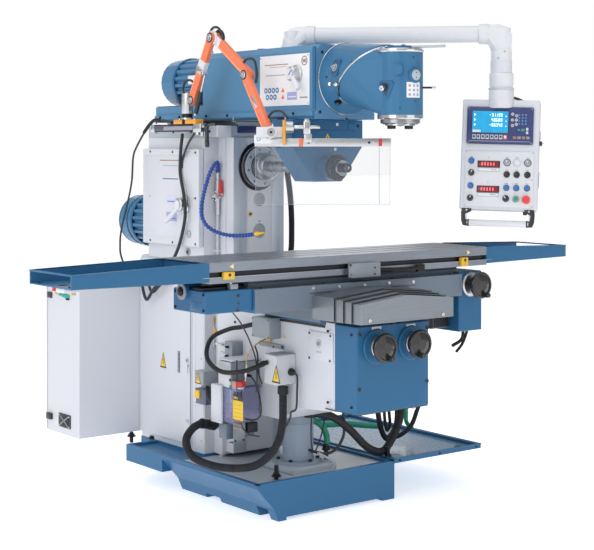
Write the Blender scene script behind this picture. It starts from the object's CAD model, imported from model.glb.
"""Looks of the universal knee-type milling machine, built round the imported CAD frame.
All helper coordinates are millimetres in the frame of the part; MM scales them to metres."""
import bpy, bmesh, math
from mathutils import Vector, Matrix


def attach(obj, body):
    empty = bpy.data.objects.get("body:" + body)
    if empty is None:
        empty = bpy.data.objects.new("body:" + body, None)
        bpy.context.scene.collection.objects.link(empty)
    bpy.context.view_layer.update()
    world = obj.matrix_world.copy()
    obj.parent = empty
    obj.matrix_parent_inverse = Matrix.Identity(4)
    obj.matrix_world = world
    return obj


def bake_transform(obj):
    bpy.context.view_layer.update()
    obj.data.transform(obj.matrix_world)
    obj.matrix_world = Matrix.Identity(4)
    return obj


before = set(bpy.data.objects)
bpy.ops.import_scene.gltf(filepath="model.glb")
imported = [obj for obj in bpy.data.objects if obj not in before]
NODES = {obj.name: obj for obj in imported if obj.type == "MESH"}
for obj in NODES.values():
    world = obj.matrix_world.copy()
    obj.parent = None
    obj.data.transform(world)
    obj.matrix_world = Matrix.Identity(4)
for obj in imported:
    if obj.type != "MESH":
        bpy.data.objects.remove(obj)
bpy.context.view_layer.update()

MM = 0.001
scene = bpy.context.scene
scene.view_settings.view_transform = 'Standard'
scene.view_settings.look = 'None'

# ===================================================================== materials
MATS = {}
class Tree:
    """Small wrapper to write node trees briefly."""
    def __init__(self, name):
        self.m = bpy.data.materials.new(name)
        self.m.use_nodes = True
        self.t = self.m.node_tree
        self.b = self.t.nodes["Principled BSDF"]
        self.coord = self.t.nodes.new("ShaderNodeTexCoord")
        MATS[name] = self.m
    def link(self, a, b):
        self.t.links.new(a, b)
    def node(self, kind, **inputs):
        n = self.t.nodes.new("ShaderNode" + kind)
        for k, v in inputs.items():
            self.put(n, k, v)
        return n
    def put(self, n, k, v):
        s = n.inputs[int(k[1:])] if k[0] == "_" and k[1:].isdigit() else n.inputs[k.replace("_", " ")]
        if hasattr(v, "is_linked") or hasattr(v, "links"):
            self.link(v, s)
        else:
            s.default_value = v
    def mapped(self, scale=(1, 1, 1), rot=(0, 0, 0)):
        n = self.node("Mapping")
        self.link(self.coord.outputs["Object"], n.inputs["Vector"])
        n.inputs["Scale"].default_value = scale
        n.inputs["Rotation"].default_value = rot
        return n.outputs[0]
    def noise(self, scale, detail=3.0, rough=0.55, stretch=(1, 1, 1), rot=(0, 0, 0)):
        n = self.node("TexNoise", Vector=self.mapped(stretch, rot), Scale=float(scale), Detail=float(detail), Roughness=rough)
        return n.outputs["Fac"]
    def ramp(self, fac, stops):
        n = self.node("ValToRGB", Fac=fac)
        e = n.color_ramp.elements
        while len(e) < len(stops):
            e.new(0.5)
        for el, (p, c) in zip(e, stops):
            el.position = p
            el.color = (*c, 1) if not isinstance(c, (int, float)) else (c, c, c, 1)
        return n.outputs["Color"]
    def mix(self, fac, a, b, kind='MIX'):
        n = self.t.nodes.new("ShaderNodeMix")
        n.data_type = 'RGBA'
        n.blend_type = kind
        for idx, v in ((0, fac), (6, a), (7, b)):
            if hasattr(v, "links"):
                self.link(v, n.inputs[idx])
            else:
                n.inputs[idx].default_value = v if idx == 0 else (*v, 1)
        return n.outputs[2]
    def math(self, op, a, b=0.0, clamp=False):
        n = self.t.nodes.new("ShaderNodeMath")
        n.operation = op
        n.use_clamp = clamp
        for i, v in enumerate((a, b)):
            if hasattr(v, "links"):
                self.link(v, n.inputs[i])
            else:
                n.inputs[i].default_value = v
        return n.outputs[0]
    def remap(self, v, a, b):
        n = self.node("MapRange", Value=v)
        n.inputs["To Min"].default_value = a
        n.inputs["To Max"].default_value = b
        return n.outputs[0]
    def bump(self, height, strength, distance=0.001, prev=None):
        n = self.node("Bump", Height=height, Strength=strength, Distance=distance)
        if prev is not None:
            self.link(prev, n.inputs["Normal"])
        return n.outputs[0]
    def edges(self, lo=0.505, hi=0.56):
        """Bright on worn outer edges."""
        g = self.t.nodes.new("ShaderNodeNewGeometry")
        b = self.t.nodes.new("ShaderNodeBevel")
        b.samples = 3
        b.inputs["Radius"].default_value = 0.0035
        d = self.t.nodes.new("ShaderNodeVectorMath")
        d.operation = 'DOT_PRODUCT'
        self.link(b.outputs[0], d.inputs[0])
        self.link(g.outputs["Normal"], d.inputs[1])
        return self.ramp(self.math('SUBTRACT', 1.0, d.outputs["Value"], True), [(0.01, 0.0), (0.14, 1.0)])

def scaled(c, k):
    return tuple(min(1.0, x * k) for x in c)

def paint(name, rgb, rough=0.36, grain=0.05, peel=0.10, wear=0.5, cast=0.0, coat=0.15, dirt=0.06, spec=0.5):
    """Sprayed paint: soft cloudiness, orange peel, lighter worn edges, faint dirt near the floor."""
    t = Tree(name)
    big = t.noise(2.6, 4)
    mid = t.noise(38, 3)
    c = t.mix(big, scaled(rgb, 1 - grain), scaled(rgb, 1 + grain))
    c = t.mix(t.ramp(mid, [(0.35, 0.0), (0.75, 0.12)]), c, scaled(rgb, 1 + grain * 1.5))
    spots = t.noise(7.5, 6, 0.7)
    c = t.mix(t.ramp(spots, [(0.56, 0.0), (0.82, dirt)]), c, scaled((rgb[0] * 0.9, rgb[1] * 0.86, rgb[2] * 0.8), 0.62))
    e = t.edges()
    e = t.math('MULTIPLY', e, t.ramp(t.noise(70, 4), [(0.42, 0.15), (0.62, 1.0)]))
    c = t.mix(t.math('MULTIPLY', e, wear), c, tuple(min(1, x * 0.6 + 0.36) for x in rgb))
    t.link(c, t.b.inputs["Base Color"])
    t.link(t.remap(t.noise(14, 4), rough - 0.07, rough + 0.10), t.b.inputs["Roughness"])
    t.b.inputs["Coat Weight"].default_value = coat
    t.b.inputs["Coat Roughness"].default_value = 0.22
    t.b.inputs["Specular IOR Level"].default_value = spec
    h = t.noise(420, 2)
    n = t.bump(h, peel, 0.0006)
    if cast:
        n = t.bump(t.noise(60, 5, 0.65), cast, 0.0022, n)
    t.link(n, t.b.inputs["Normal"])
    return t.m

def steel(name, rgb, rough=0.28, stretch=(1, 1, 1), scale=160, streak=0.14, bump=0.05, metal=1.0, cloud=0.16, rot=(0, 0, 0)):
    """Machined metal: streaks along the tool path, cloudy oil film, brighter edges."""
    t = Tree(name)
    s = t.noise(scale, 4, 0.6, stretch, rot)
    s2 = t.noise(scale * 3.1, 2, 0.5, stretch, rot)
    both = t.math('ADD', t.math('MULTIPLY', s, 0.65), t.math('MULTIPLY', s2, 0.35))
    c = t.mix(both, scaled(rgb, 1 - streak * 1.6), scaled(rgb, 1 + streak))
    c = t.mix(t.ramp(t.noise(5.5, 5, 0.6), [(0.42, 0.0), (0.72, cloud)]), c, scaled((rgb[0] * 0.98, rgb[1] * 0.93, rgb[2] * 0.86), 0.66))
    c = t.mix(t.math('MULTIPLY', t.edges(), 0.5), c, scaled(rgb, 1.45))
    t.link(c, t.b.inputs["Base Color"])
    t.b.inputs["Metallic"].default_value = metal
    t.link(t.remap(both, rough - 0.07, rough + 0.12), t.b.inputs["Roughness"])
    t.link(t.bump(both, bump, 0.0008), t.b.inputs["Normal"])
    return t.m

def plastic(name, rgb, rough=0.3, grain=0.08, bump=0.05, scale=300, spec=0.5, sub=0.0, coat=0.0):
    """Moulded plastic or rubber: faint mottling, fine texture, handled edges."""
    t = Tree(name)
    c = t.mix(t.noise(24, 4), scaled(rgb, 1 - grain), tuple(min(1, x * (1 + grain) + 0.004) for x in rgb))
    c = t.mix(t.math('MULTIPLY', t.edges(), 0.25), c, tuple(min(1, x * 0.8 + 0.14) for x in rgb))
    t.link(c, t.b.inputs["Base Color"])
    t.link(t.remap(t.noise(60, 3), rough - 0.06, rough + 0.1), t.b.inputs["Roughness"])
    t.link(t.bump(t.noise(scale, 2), bump, 0.0005), t.b.inputs["Normal"])
    t.b.inputs["Specular IOR Level"].default_value = spec
    t.b.inputs["Coat Weight"].default_value = coat
    return t.m

def glow(name, rgb, strength, dark=0.75):
    """Lit display or lamp: slightly uneven brightness with fine cell rows."""
    t = Tree(name)
    w = t.noise(30, 2)
    c = t.mix(w, scaled(rgb, dark), rgb)
    t.link(c, t.b.inputs["Base Color"])
    t.link(c, t.b.inputs["Emission Color"])
    t.b.inputs["Emission Strength"].default_value = strength
    t.link(t.remap(t.noise(80, 2), 0.14, 0.24), t.b.inputs["Roughness"])
    t.link(t.bump(t.noise(900, 1), 0.02, 0.0003), t.b.inputs["Normal"])
    return t.m

def clear(name, rgb, alpha, rough=0.05, var=0.3):
    """Thin see-through sheet: a faint film with scratches and smears."""
    t = Tree(name)
    c = t.mix(t.noise(9, 4), scaled(rgb, 0.94), rgb)
    t.link(c, t.b.inputs["Base Color"])
    smear = t.noise(6, 6, 0.65, (1, 1, 0.4))
    t.link(t.remap(smear, alpha * (1 - var), alpha * (1 + var)), t.b.inputs["Alpha"])
    t.link(t.remap(t.noise(40, 3), rough, rough + 0.08), t.b.inputs["Roughness"])
    t.link(t.bump(t.noise(3.0, 2), 0.05, 0.002), t.b.inputs["Normal"])
    return t.m

BLUE = paint("blue_paint", (0.026, 0.135, 0.285), coat=0.03, spec=0.28, rough=0.36, grain=0.03, cast=0.02, wear=0.30)
BLUE2 = paint("blue_cast", (0.027, 0.137, 0.288), coat=0.03, spec=0.28, rough=0.38, grain=0.035, cast=0.06, wear=0.34)
BLUESHEET = paint("blue_sheet", (0.027, 0.138, 0.288), coat=0.03, spec=0.28, rough=0.36, grain=0.03, peel=0.08, wear=0.40, dirt=0.05)
WHITE = paint("white_paint", (0.655, 0.675, 0.735), rough=0.40, grain=0.02, wear=0.12, coat=0.1, dirt=0.05)
WHITE2 = paint("white_cast", (0.640, 0.660, 0.720), rough=0.42, grain=0.03, cast=0.12, wear=0.12, dirt=0.07)
GREY = paint("grey_cast", (0.165, 0.205, 0.262), coat=0.03, spec=0.3, rough=0.42, grain=0.05, cast=0.14, wear=0.3)
PILLARGREY = paint("pillar_grey", (0.27, 0.335, 0.42), coat=0.05, spec=0.35, rough=0.38, grain=0.03, cast=0.05, wear=0.2)
MOTORBLUE = paint("motor_blue", (0.056, 0.188, 0.355), coat=0.05, spec=0.32, rough=0.34, grain=0.03, cast=0.03, wear=0.25)
RAMBLUE = paint("ram_blue", (0.088, 0.240, 0.415), coat=0.05, spec=0.32, rough=0.34, grain=0.03, cast=0.03, wear=0.30)
HEADBLUE = paint("head_blue", (0.038, 0.160, 0.312), coat=0.04, spec=0.30, rough=0.36, grain=0.03, cast=0.05, wear=0.30)
LIGHTGREY = paint("light_grey_paint", (0.44, 0.49, 0.55), rough=0.42, grain=0.04, cast=0.08, wear=0.2, dirt=0.14)
ORANGE = paint("orange_paint", (0.86, 0.205, 0.095), rough=0.34, grain=0.06, wear=0.35)
NAVY = paint("navy_bezel", (0.028, 0.040, 0.150), rough=0.30, grain=0.10, wear=0.2)
DARKPAINT = paint("black_enamel", (0.018, 0.020, 0.026), rough=0.42, grain=0.2, wear=0.3, dirt=0.0)
TABLE = steel("ground_table", (0.28, 0.315, 0.37), rough=0.34, stretch=(0.10, 1.6, 1.6), scale=70, streak=0.20, bump=0.10, cloud=0.25, metal=0.75)
SLOTDARK = steel("slot_steel", (0.16, 0.165, 0.18), rough=0.42, stretch=(0.1, 1, 1), scale=90, streak=0.3)
GROUND = steel("ground_steel", (0.36, 0.385, 0.42), metal=0.8, rough=0.28, stretch=(1, 0.12, 1), scale=120)
TURNED = steel("turned_steel", (0.40, 0.41, 0.435), rough=0.22, stretch=(0.6, 8, 0.6), scale=60, streak=0.12)
TURNEDZ = steel("turned_steel_z", (0.40, 0.41, 0.435), rough=0.22, stretch=(0.6, 0.6, 8), scale=60, streak=0.12)
BRUSHED = steel("brushed_sheet", (0.27, 0.30, 0.335), rough=0.36, stretch=(0.05, 1, 1), scale=150, streak=0.16, bump=0.06, metal=0.7, cloud=0.2)
WAYS = steel("scraped_ways", (0.42, 0.465, 0.53), metal=0.35, rough=0.36, stretch=(1, 1, 0.12), scale=60, streak=0.25, bump=0.08)
DARK = steel("blackened_steel", (0.045, 0.047, 0.055), rough=0.38, scale=90, streak=0.3)
ALU = steel("satin_aluminium", (0.62, 0.635, 0.655), rough=0.27, stretch=(0.2, 0.2, 1), scale=120, streak=0.08, bump=0.03)
CHROME = steel("polished_steel", (0.66, 0.67, 0.69), rough=0.14, scale=90, streak=0.05, bump=0.02, cloud=0.08)
BRASS = steel("brass", (0.62, 0.42, 0.14), rough=0.26, scale=110, streak=0.1)
BLACK = plastic("black_plastic", (0.016, 0.016, 0.018), rough=0.26, grain=0.3, coat=0.3)
RUBBER = plastic("black_rubber", (0.012, 0.013, 0.016), spec=0.3, rough=0.50, grain=0.25, bump=0.15)
CONDUIT = plastic("grey_conduit", (0.013, 0.015, 0.021), spec=0.22, rough=0.50, grain=0.2, bump=0.10)
CABLE = plastic("cable_sheath", (0.022, 0.027, 0.034), spec=0.35, rough=0.40, grain=0.2, bump=0.08)
GREYPL = plastic("grey_plastic", (0.30, 0.33, 0.37), rough=0.38, grain=0.06)
LIGHTPL = plastic("light_plastic", (0.60, 0.62, 0.66), rough=0.36, grain=0.04)
WHITEPL = plastic("white_plastic", (0.70, 0.715, 0.755), rough=0.33, grain=0.03)
RED = plastic("red_plastic", (0.62, 0.022, 0.030), rough=0.28, grain=0.08, coat=0.3)
PINK = plastic("estop_red", (0.78, 0.045, 0.075), rough=0.28, grain=0.08, coat=0.3)
SALMON = plastic("salmon_block", (0.80, 0.19, 0.10), rough=0.35)
GREEN = plastic("green_plastic", (0.015, 0.30, 0.20), rough=0.28, grain=0.08, coat=0.3)
TEAL = plastic("teal_gland", (0.05, 0.42, 0.33), rough=0.4)
BLUEPL = plastic("blue_plastic", (0.015, 0.16, 0.50), rough=0.28, grain=0.08, coat=0.3)
HOSEBLUE = plastic("blue_hose", (0.020, 0.075, 0.36), rough=0.36)
YELLOW = plastic("yellow_plastic", (0.83, 0.50, 0.025), rough=0.36)
AMBER = plastic("amber_plastic", (0.80, 0.33, 0.012), rough=0.22, grain=0.12, coat=0.5)
GREENHOSE = plastic("green_hose", (0.012, 0.36, 0.22), rough=0.3, grain=0.15)
LABEL = plastic("label_white", (0.80, 0.81, 0.84), rough=0.4, grain=0.03, bump=0.02)
LAVENDER = plastic("label_lavender", (0.36, 0.38, 0.66), rough=0.4, grain=0.08, bump=0.02)
LABELBLUE = plastic("label_blue", (0.03, 0.16, 0.42), rough=0.4, grain=0.08, bump=0.02)
LABELGREY = plastic("label_grey", (0.30, 0.31, 0.36), rough=0.4, grain=0.06, bump=0.02)
LABELBROWN = plastic("label_brown", (0.40, 0.20, 0.12), rough=0.4, grain=0.1, bump=0.02)
LABELYEL = plastic("label_yellow", (0.86, 0.58, 0.03), rough=0.4, grain=0.05, bump=0.02)
VIOLET = clear("violet_tank", (0.36, 0.38, 0.62), 0.42, 0.12, 0.12)
BROWN = plastic("amber_oil", (0.13, 0.060, 0.052), rough=0.15, coat=0.5)
CLEAR = clear("clear_sheet", (0.50, 0.55, 0.62), 0.085, 0.05, 0.25)
CLEAREDGE = clear("clear_edge", (0.50, 0.55, 0.64), 0.55, 0.08, 0.15)
SCREEN = glow("screen_cyan", (0.012, 0.31, 0.58), 0.62)
GLOWWHITE = glow("digit_white", (0.85, 0.97, 1.0), 1.0)
GLOWRED = glow("digit_red", (1.0, 0.22, 0.25), 1.1)
METERRED = glow("meter_red", (0.30, 0.010, 0.018), 0.25)

# ===================================================================== mesh helpers
def box(x0, y0, z0, x1, y1, z1, bevel=0.0, seg=2, only=None):
    bm = bmesh.new()
    bmesh.ops.create_cube(bm, size=1.0)
    bmesh.ops.scale(bm, vec=(x1 - x0, y1 - y0, z1 - z0), verts=bm.verts)
    bmesh.ops.translate(bm, vec=((x0 + x1) / 2, (y0 + y1) / 2, (z0 + z1) / 2), verts=bm.verts)
    if bevel:
        ed = list(bm.edges)
        if only:
            i = "xyz".index(only[0])
            ed = [e for e in ed if abs((e.verts[0].co - e.verts[1].co)[i]) > 1e-6]
        bmesh.ops.bevel(bm, geom=ed, offset=bevel, segments=seg, affect='EDGES', profile=0.5)
    return bm

def frame_of(d):
    return Vector((0, 0, 1)).rotation_difference(Vector(d)).to_matrix().to_4x4()

def rod(p0, p1, r0, r1=None, n=24, bevel=0.0):
    p0, p1 = Vector(p0), Vector(p1)
    d = p1 - p0
    r1 = r0 if r1 is None else r1
    L = d.length
    if bevel:
        prof = [(0, L), (r1 - bevel, L), (r1 - bevel * 0.3, L - bevel * 0.3), (r1, L - bevel),
                (r0, bevel), (r0 - bevel * 0.3, bevel * 0.3), (r0 - bevel, 0), (0, 0)]
        return lathe(prof, d, p0, n)
    bm = bmesh.new()
    bmesh.ops.create_cone(bm, cap_ends=True, segments=n, radius1=r0, radius2=r1, depth=L)
    bmesh.ops.transform(bm, matrix=Matrix.Translation((p0 + p1) / 2) @ frame_of(d), verts=bm.verts)
    return bm

def lathe(profile, axis, origin, n=32):
    """Surface of revolution; profile is (radius, height) pairs."""
    bm = bmesh.new()
    rings = []
    for r, h in profile:
        if r <= 1e-6:
            rings.append([bm.verts.new((0, 0, h))])
        else:
            rings.append([bm.verts.new((r * math.cos(math.tau * i / n), r * math.sin(math.tau * i / n), h)) for i in range(n)])
    for a, b in zip(rings, rings[1:]):
        if len(a) == 1 and len(b) == 1:
            continue
        for i in range(n):
            j = (i + 1) % n
            if len(a) == 1:
                bm.faces.new((a[0], b[i], b[j]))
            elif len(b) == 1:
                bm.faces.new((a[i], b[0], a[j]))
            else:
                bm.faces.new((a[i], b[i], b[j], a[j]))
    bmesh.ops.recalc_face_normals(bm, faces=bm.faces)
    bmesh.ops.transform(bm, matrix=Matrix.Translation(Vector(origin)) @ frame_of(axis), verts=bm.verts)
    return bm

def sheet(pts, plane, a0, a1, bevel=0.0, seg=2):
    """Flat outline (no holes) given thickness along the axis normal to plane."""
    bm = bmesh.new()
    def place(u, v, w):
        return {'xz': (u, w, v), 'yz': (w, u, v), 'xy': (u, v, w)}[plane]
    lo = [bm.verts.new(place(u, v, a0)) for u, v in pts]
    hi = [bm.verts.new(place(u, v, a1)) for u, v in pts]
    n = len(pts)
    bm.faces.new(lo)
    bm.faces.new(hi)
    for i in range(n):
        j = (i + 1) % n
        bm.faces.new((lo[i], lo[j], hi[j], hi[i]))
    bmesh.ops.recalc_face_normals(bm, faces=bm.faces)
    if bevel:
        bmesh.ops.bevel(bm, geom=list(bm.edges), offset=bevel, segments=seg, affect='EDGES', profile=0.5)
    return bm

def disc_pts(cx, cy, r, n=24, a0=0.0, a1=math.tau):
    return [(cx + r * math.cos(a0 + (a1 - a0) * i / n), cy + r * math.sin(a0 + (a1 - a0) * i / n)) for i in range(n)]

def spline(points, step=6.0):
    """Catmull-Rom curve through the points, evenly stepped."""
    P = [Vector(p) for p in points]
    P = [P[0] * 2 - P[1]] + P + [P[-1] * 2 - P[-2]]
    out = []
    for i in range(1, len(P) - 2):
        a, b, c, d = P[i - 1:i + 3]
        k = max(2, int((c - b).length / step))
        for s in range(k):
            t = s / k
            out.append(0.5 * ((2 * b) + (c - a) * t + (2 * a - 5 * b + 4 * c - d) * t * t + (3 * b - a - 3 * c + d) * t ** 3))
    out.append(P[-2])
    return out

def tube(points, r, n=10, step=8.0, ribs=None, curve=True):
    """Swept round tube; ribs=(pitch, depth) makes it corrugated."""
    pts = spline(points, step if not ribs else ribs[0] / 4) if curve else [Vector(p) for p in points]
    bm = bmesh.new()
    t0 = (pts[1] - pts[0]).normalized()
    up = Vector((0, 0, 1)) if abs(t0.z) < 0.9 else Vector((1, 0, 0))
    nrm = t0.cross(up).normalized()
    prev = None
    rings = []
    dist = 0.0
    for i, p in enumerate(pts):
        tan = ((pts[i + 1] if i + 1 < len(pts) else p) - (pts[i - 1] if i else p)).normalized()
        nrm = (nrm - tan * nrm.dot(tan)).normalized()
        bi = tan.cross(nrm)
        if i:
            dist += (p - pts[i - 1]).length
        rr = r
        if ribs:
            rr = r - ribs[1] * (0.5 + 0.5 * math.cos(math.tau * dist / ribs[0])) ** 0.7
        rings.append([bm.verts.new(p + (nrm * math.cos(math.tau * k / n) + bi * math.sin(math.tau * k / n)) * rr) for k in range(n)])
    for a, b in zip(rings, rings[1:]):
        for k in range(n):
            j = (k + 1) % n
            bm.faces.new((a[k], b[k], b[j], a[j]))
    bm.faces.new(rings[0])
    bm.faces.new(rings[-1])
    bmesh.ops.recalc_face_normals(bm, faces=bm.faces)
    return bm

def cap_screw(p, d, r, h, n=16, socket=True):
    """Socket head screw standing h proud of p along d."""
    s = r * 0.52
    prof = [(0, h * 0.35), (s, h * 0.35), (s, h * 0.96), (s * 1.1, h), (r * 0.88, h), (r, h * 0.86), (r, -0.6), (0, -0.6)] if socket else \
           [(0, h), (r * 0.6, h * 0.97), (r * 0.9, h * 0.7), (r, h * 0.2), (r, -0.6), (0, -0.6)]
    return lathe(prof, d, p, n)

def hex_head(p, d, r, h, washer=True):
    bm = rod(p, Vector(p) + Vector(d).normalized() * h, r, n=6)
    if washer:
        w = rod(Vector(p) - Vector(d).normalized() * 0.5, Vector(p) + Vector(d).normalized() * h * 0.25, r * 1.35, n=20)
        return join(bm, w)
    return bm

def join(*bms):
    out = bms[0]
    for b in bms[1:]:
        me = bpy.data.meshes.new("t")
        b.to_mesh(me)
        b.free()
        out.from_mesh(me)
        bpy.data.meshes.remove(me)
    return out

def move(bm, m):
    bmesh.ops.transform(bm, matrix=m, verts=bm.verts)
    return bm

def ring(c, axis, r_out, r_in, h, n=40, chamfer=1.0):
    return lathe([(r_in, 0), (r_in, h), (r_out - chamfer, h), (r_out, h - chamfer), (r_out, 0), (r_in, 0)], axis, c, n)

class Piece:
    """One visible piece: meshes in several materials, riding on a CAD body."""
    def __init__(self, name, body, slot=None, bevel=0.0, angle=32, seg=2):
        self.name, self.body, self.slot, self.bevel, self.angle, self.seg = name, body, slot, bevel, angle, seg
        self.me = bpy.data.meshes.new(name)
        self.all = bmesh.new()
        self.mats = []
    def add(self, bm, material, m=None):
        if m is not None:
            move(bm, m)
        if material not in self.mats:
            self.mats.append(material)
        i = self.mats.index(material)
        for f in bm.faces:
            f.material_index = i
            f.smooth = True
        t = bpy.data.meshes.new("t")
        bm.to_mesh(t)
        bm.free()
        self.all.from_mesh(t)
        bpy.data.meshes.remove(t)
        return self
    def done(self):
        bmesh.ops.scale(self.all, vec=(MM, MM, MM), verts=self.all.verts)
        self.all.to_mesh(self.me)
        self.all.free()
        for m in self.mats:
            self.me.materials.append(m)
        self.me.set_sharp_from_angle(angle=math.radians(self.angle))
        ob = bpy.data.objects.new(self.name, self.me)
        scene.collection.objects.link(ob)
        if self.bevel:
            b = ob.modifiers.new("edge", 'BEVEL')
            b.width = self.bevel * MM
            b.segments = self.seg
            b.limit_method = 'ANGLE'
            b.angle_limit = math.radians(35)
            b.harden_normals = True
        if isinstance(self.body, tuple):
            a, b, p0, p1 = self.body
            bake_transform(ob)
        else:
            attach(ob, self.body)
        return ob

# ===================================================================== CAD nodes
LOOK = {
    "base_casting": (BLUE2, 3.0), "chip_tray": (BLUESHEET, 1.0), "elevating_pillar": (PILLARGREY, 1.5),
    "column_casting": (WHITE2, 4.0), "ram_guide_slab": (LIGHTGREY, 3.0), "gearbox_cover": (WHITE, 4.0),
    "column_door": (WHITE, 1.2), "column_speed_lever": (ALU, 1.0), "electrical_cabinet": (WHITE, 1.5),
    "cabinet_door": (WHITE, 1.5), "main_switch": (RED, 0.8), "spindle_motor": (MOTORBLUE, 0.8),
    "spindle_motor_cowl": (MOTORBLUE, 1.5), "motor_pinion": (GROUND, 0.8), "horizontal_spindle": (TURNED, 1.0),
    "bull_gear": (GROUND, 0.8), "spindle_bearing": (CHROME, 0.8), "milling_arbor": (TURNED, 1.0),
    "knee_casting": (WHITE2, 4.0), "knee_leadscrew": (TURNEDZ, 0.5), "knee_gearbox": (BLUE, 3.0),
    "knee_control_box": (LIGHTPL, 2.0), "lube_pump": (GREYPL, 2.0), "lube_reservoir": (VIOLET, 2.0),
    "y_handwheel": (BLACK, 0.8), "z_handwheel": (BLACK, 0.8), "x_handwheel": (BLACK, 0.8),
    "way_cover_1": (BRUSHED, 0.0), "way_cover_2": (BRUSHED, 0.0), "way_cover_3": (BRUSHED, 0.0),
    "way_cover_4": (BRUSHED, 0.0), "saddle_casting": (GREY, 2.0), "table_guide": (GREY, 2.5),
    "x_gearbox": (BLUE, 3.0), "x_servo_housing": (BLUE, 3.0), "x_servo_motor": (DARKPAINT, 2.0),
    "x_leadscrew": (GROUND, 0.5), "milling_table": (TABLE, 1.2), "table_tray_left": (BLUESHEET, 0.0),
    "table_tray_right": (BLUESHEET, 0.0), "ram_casting": (RAMBLUE, 2.5), "ram_motor": (MOTORBLUE, 0.8),
    "ram_motor_cowl": (MOTORBLUE, 1.5), "ram_speed_lever": (ALU, 1.0), "arbor_support": (BLUE2, 3.0),
    "head_swivel_body": (HEADBLUE, 2.5), "spindle_housing": (HEADBLUE, 2.5), "vertical_spindle": (TURNEDZ, 0.8),
    "pendant_arm": (WHITEPL, 1.0), "pendant_box": (WHITE, 1.5), "estop_button": (PINK, 0.8),
    "start_button": (GREEN, 0.6), "coolant_tap": (ALU, 0.5), "coolant_valve_lever": (RED, 0.6),
    "guard_mount": (DARK, 1.5), "guard_post": (ALU, 1.0), "guard_link_1": (ORANGE, 1.5),
    "guard_link_2": (ORANGE, 1.5), "guard_link_3": (ORANGE, 1.5), "guard_panel": (CLEAR, 0.0),
}
for name, o in NODES.items():
    material, width = LOOK[name]
    o.data.materials.clear()
    o.data.materials.append(material)
    w = o.modifiers.new("weld", 'WELD')
    w.merge_threshold = 0.00002
    d = o.modifiers.new("flat", 'DECIMATE')
    d.decimate_type = 'DISSOLVE'
    d.angle_limit = math.radians(0.6)
    if width:
        b = o.modifiers.new("edge", 'BEVEL')
        b.width = width * MM
        b.segments = 2
        b.limit_method = 'ANGLE'
        b.angle_limit = math.radians(34)
        b.use_clamp_overlap = True
        b.harden_normals = True
    n = o.modifiers.new("normals", 'WEIGHTED_NORMAL')
    n.keep_sharp = True

# ===================================================================== pendant
PM = (Matrix.Translation((675, -976, 1622)) @ Matrix.Rotation(-math.radians(49.75), 4, 'Z')
      @ Matrix.Rotation(-math.radians(8), 4, 'X') @ Matrix.Rotation(math.radians(1.4), 4, 'Y'))
PD = PM @ Matrix.Translation((-5.0, 0, 5)) @ Matrix.Diagonal((0.963, 1, 1, 1))
PK = PM @ Matrix.Translation((-2.0, 0, 3)) @ Matrix.Diagonal((0.963, 1, 1, 1))
PF = -42.0
SEG7 = {"0": "abcdef", "1": "bc", "2": "abged", "3": "abgcd", "4": "fgbc", "5": "afgcd", "6": "afgedc",
        "7": "abc", "8": "abcdefg", "9": "abcdfg", "-": "g"}
def digits(text, x, z, h, y, depth=0.8, pitch=0.72):
    """Seven segment numerals standing in the plane y, starting at x, centred on z."""
    out = None
    w = h * 0.46
    t = h * 0.13
    for ch in text:
        if ch == ".":
            b = box(x - t * 0.9, y - depth, z - h / 2, x + t * 0.3, y, z - h / 2 + t)
            out = b if out is None else join(out, b)
            continue
        for s in SEG7.get(ch, ""):
            r = {"a": (0, h - t, w, h), "b": (w - t, h / 2, w, h), "c": (w - t, 0, w, h / 2), "d": (0, 0, w, t),
                 "e": (0, 0, t, h / 2), "f": (0, h / 2, t, h), "g": (0, h / 2 - t / 2, w, h / 2 + t / 2)}[s]
            b = box(x + r[0], y - depth, z - h / 2 + r[1], x + r[2], y, z - h / 2 + r[3])
            out = b if out is None else join(out, b)
        x += h * pitch
    return out

def knob(p, x, z, r, h, material, base=BLACK, pointer=None, ribs=0):
    """Panel knob: collar, crowned cap and pointer line."""
    y = PF - 2.4
    p.add(lathe([(r * 1.18, 0), (r * 1.18, 1.4), (r * 1.05, 2.2), (0, 2.2)], (0, -1, 0), (x, y, z), 28), base, PK)
    prof = [(r * 0.96, 1.5), (r, 3), (r * 0.94, h - 2.5), (r * 0.80, h - 0.7), (r * 0.5, h), (0, h)]
    bm = lathe(prof, (0, -1, 0), (x, y, z), 28)
    p.add(bm, material, PK)
    if pointer:
        a = math.radians(pointer[0])
        bar = box(-r * 0.12, y - h - 0.9, 0, r * 0.12, y - h + 1, r * 0.9, 0.3)
        p.add(move(bar, Matrix.Translation((x, 0, z)) @ Matrix.Rotation(a, 4, 'Y')), pointer[1], PK)

pd = Piece("pendant_display", "panel", "black_plastic")
pd.add(box(-155, PF - 13, 50, 161, PF + 1, 224, 6, 3), NAVY, PD)
pd.add(box(-149, PF - 14.5, 56, 155, PF - 12, 218, 1.2), plastic("bezel_face", (0.040, 0.055, 0.185), rough=0.3, grain=0.2), PD)
pd.add(box(-132, PF - 16, 99, 45, PF - 14, 205, 2), DARKPAINT, PD)
pd.add(box(-128.5, PF - 16.8, 102, 41.5, PF - 15.5, 202), SCREEN, PD)
for i, (txt) in enumerate(("-31.100", "48.680", "-86.340")):
    z = 184.5 - i * 23.2
    pd.add(digits(txt, -47 if txt[0] == "-" else -37, z, 15, PF - 16.7), GLOWWHITE, PD)
    pd.add(box(-120, PF - 17.2, z - 6, -117.5, PF - 16.7, z + 6), GLOWWHITE, PD)
    pd.add(box(-120, PF - 17.2, z - 1.5, -112, PF - 16.7, z + 1.5), GLOWWHITE, PD)
    pd.add(box(29, PF - 17.2, z - 7, 34, PF - 16.7, z - 3.5), GLOWWHITE, PD)
pd.add(box(-126, PF - 17.3, 104, -88, PF - 16.6, 114), LABEL, PD)
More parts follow.
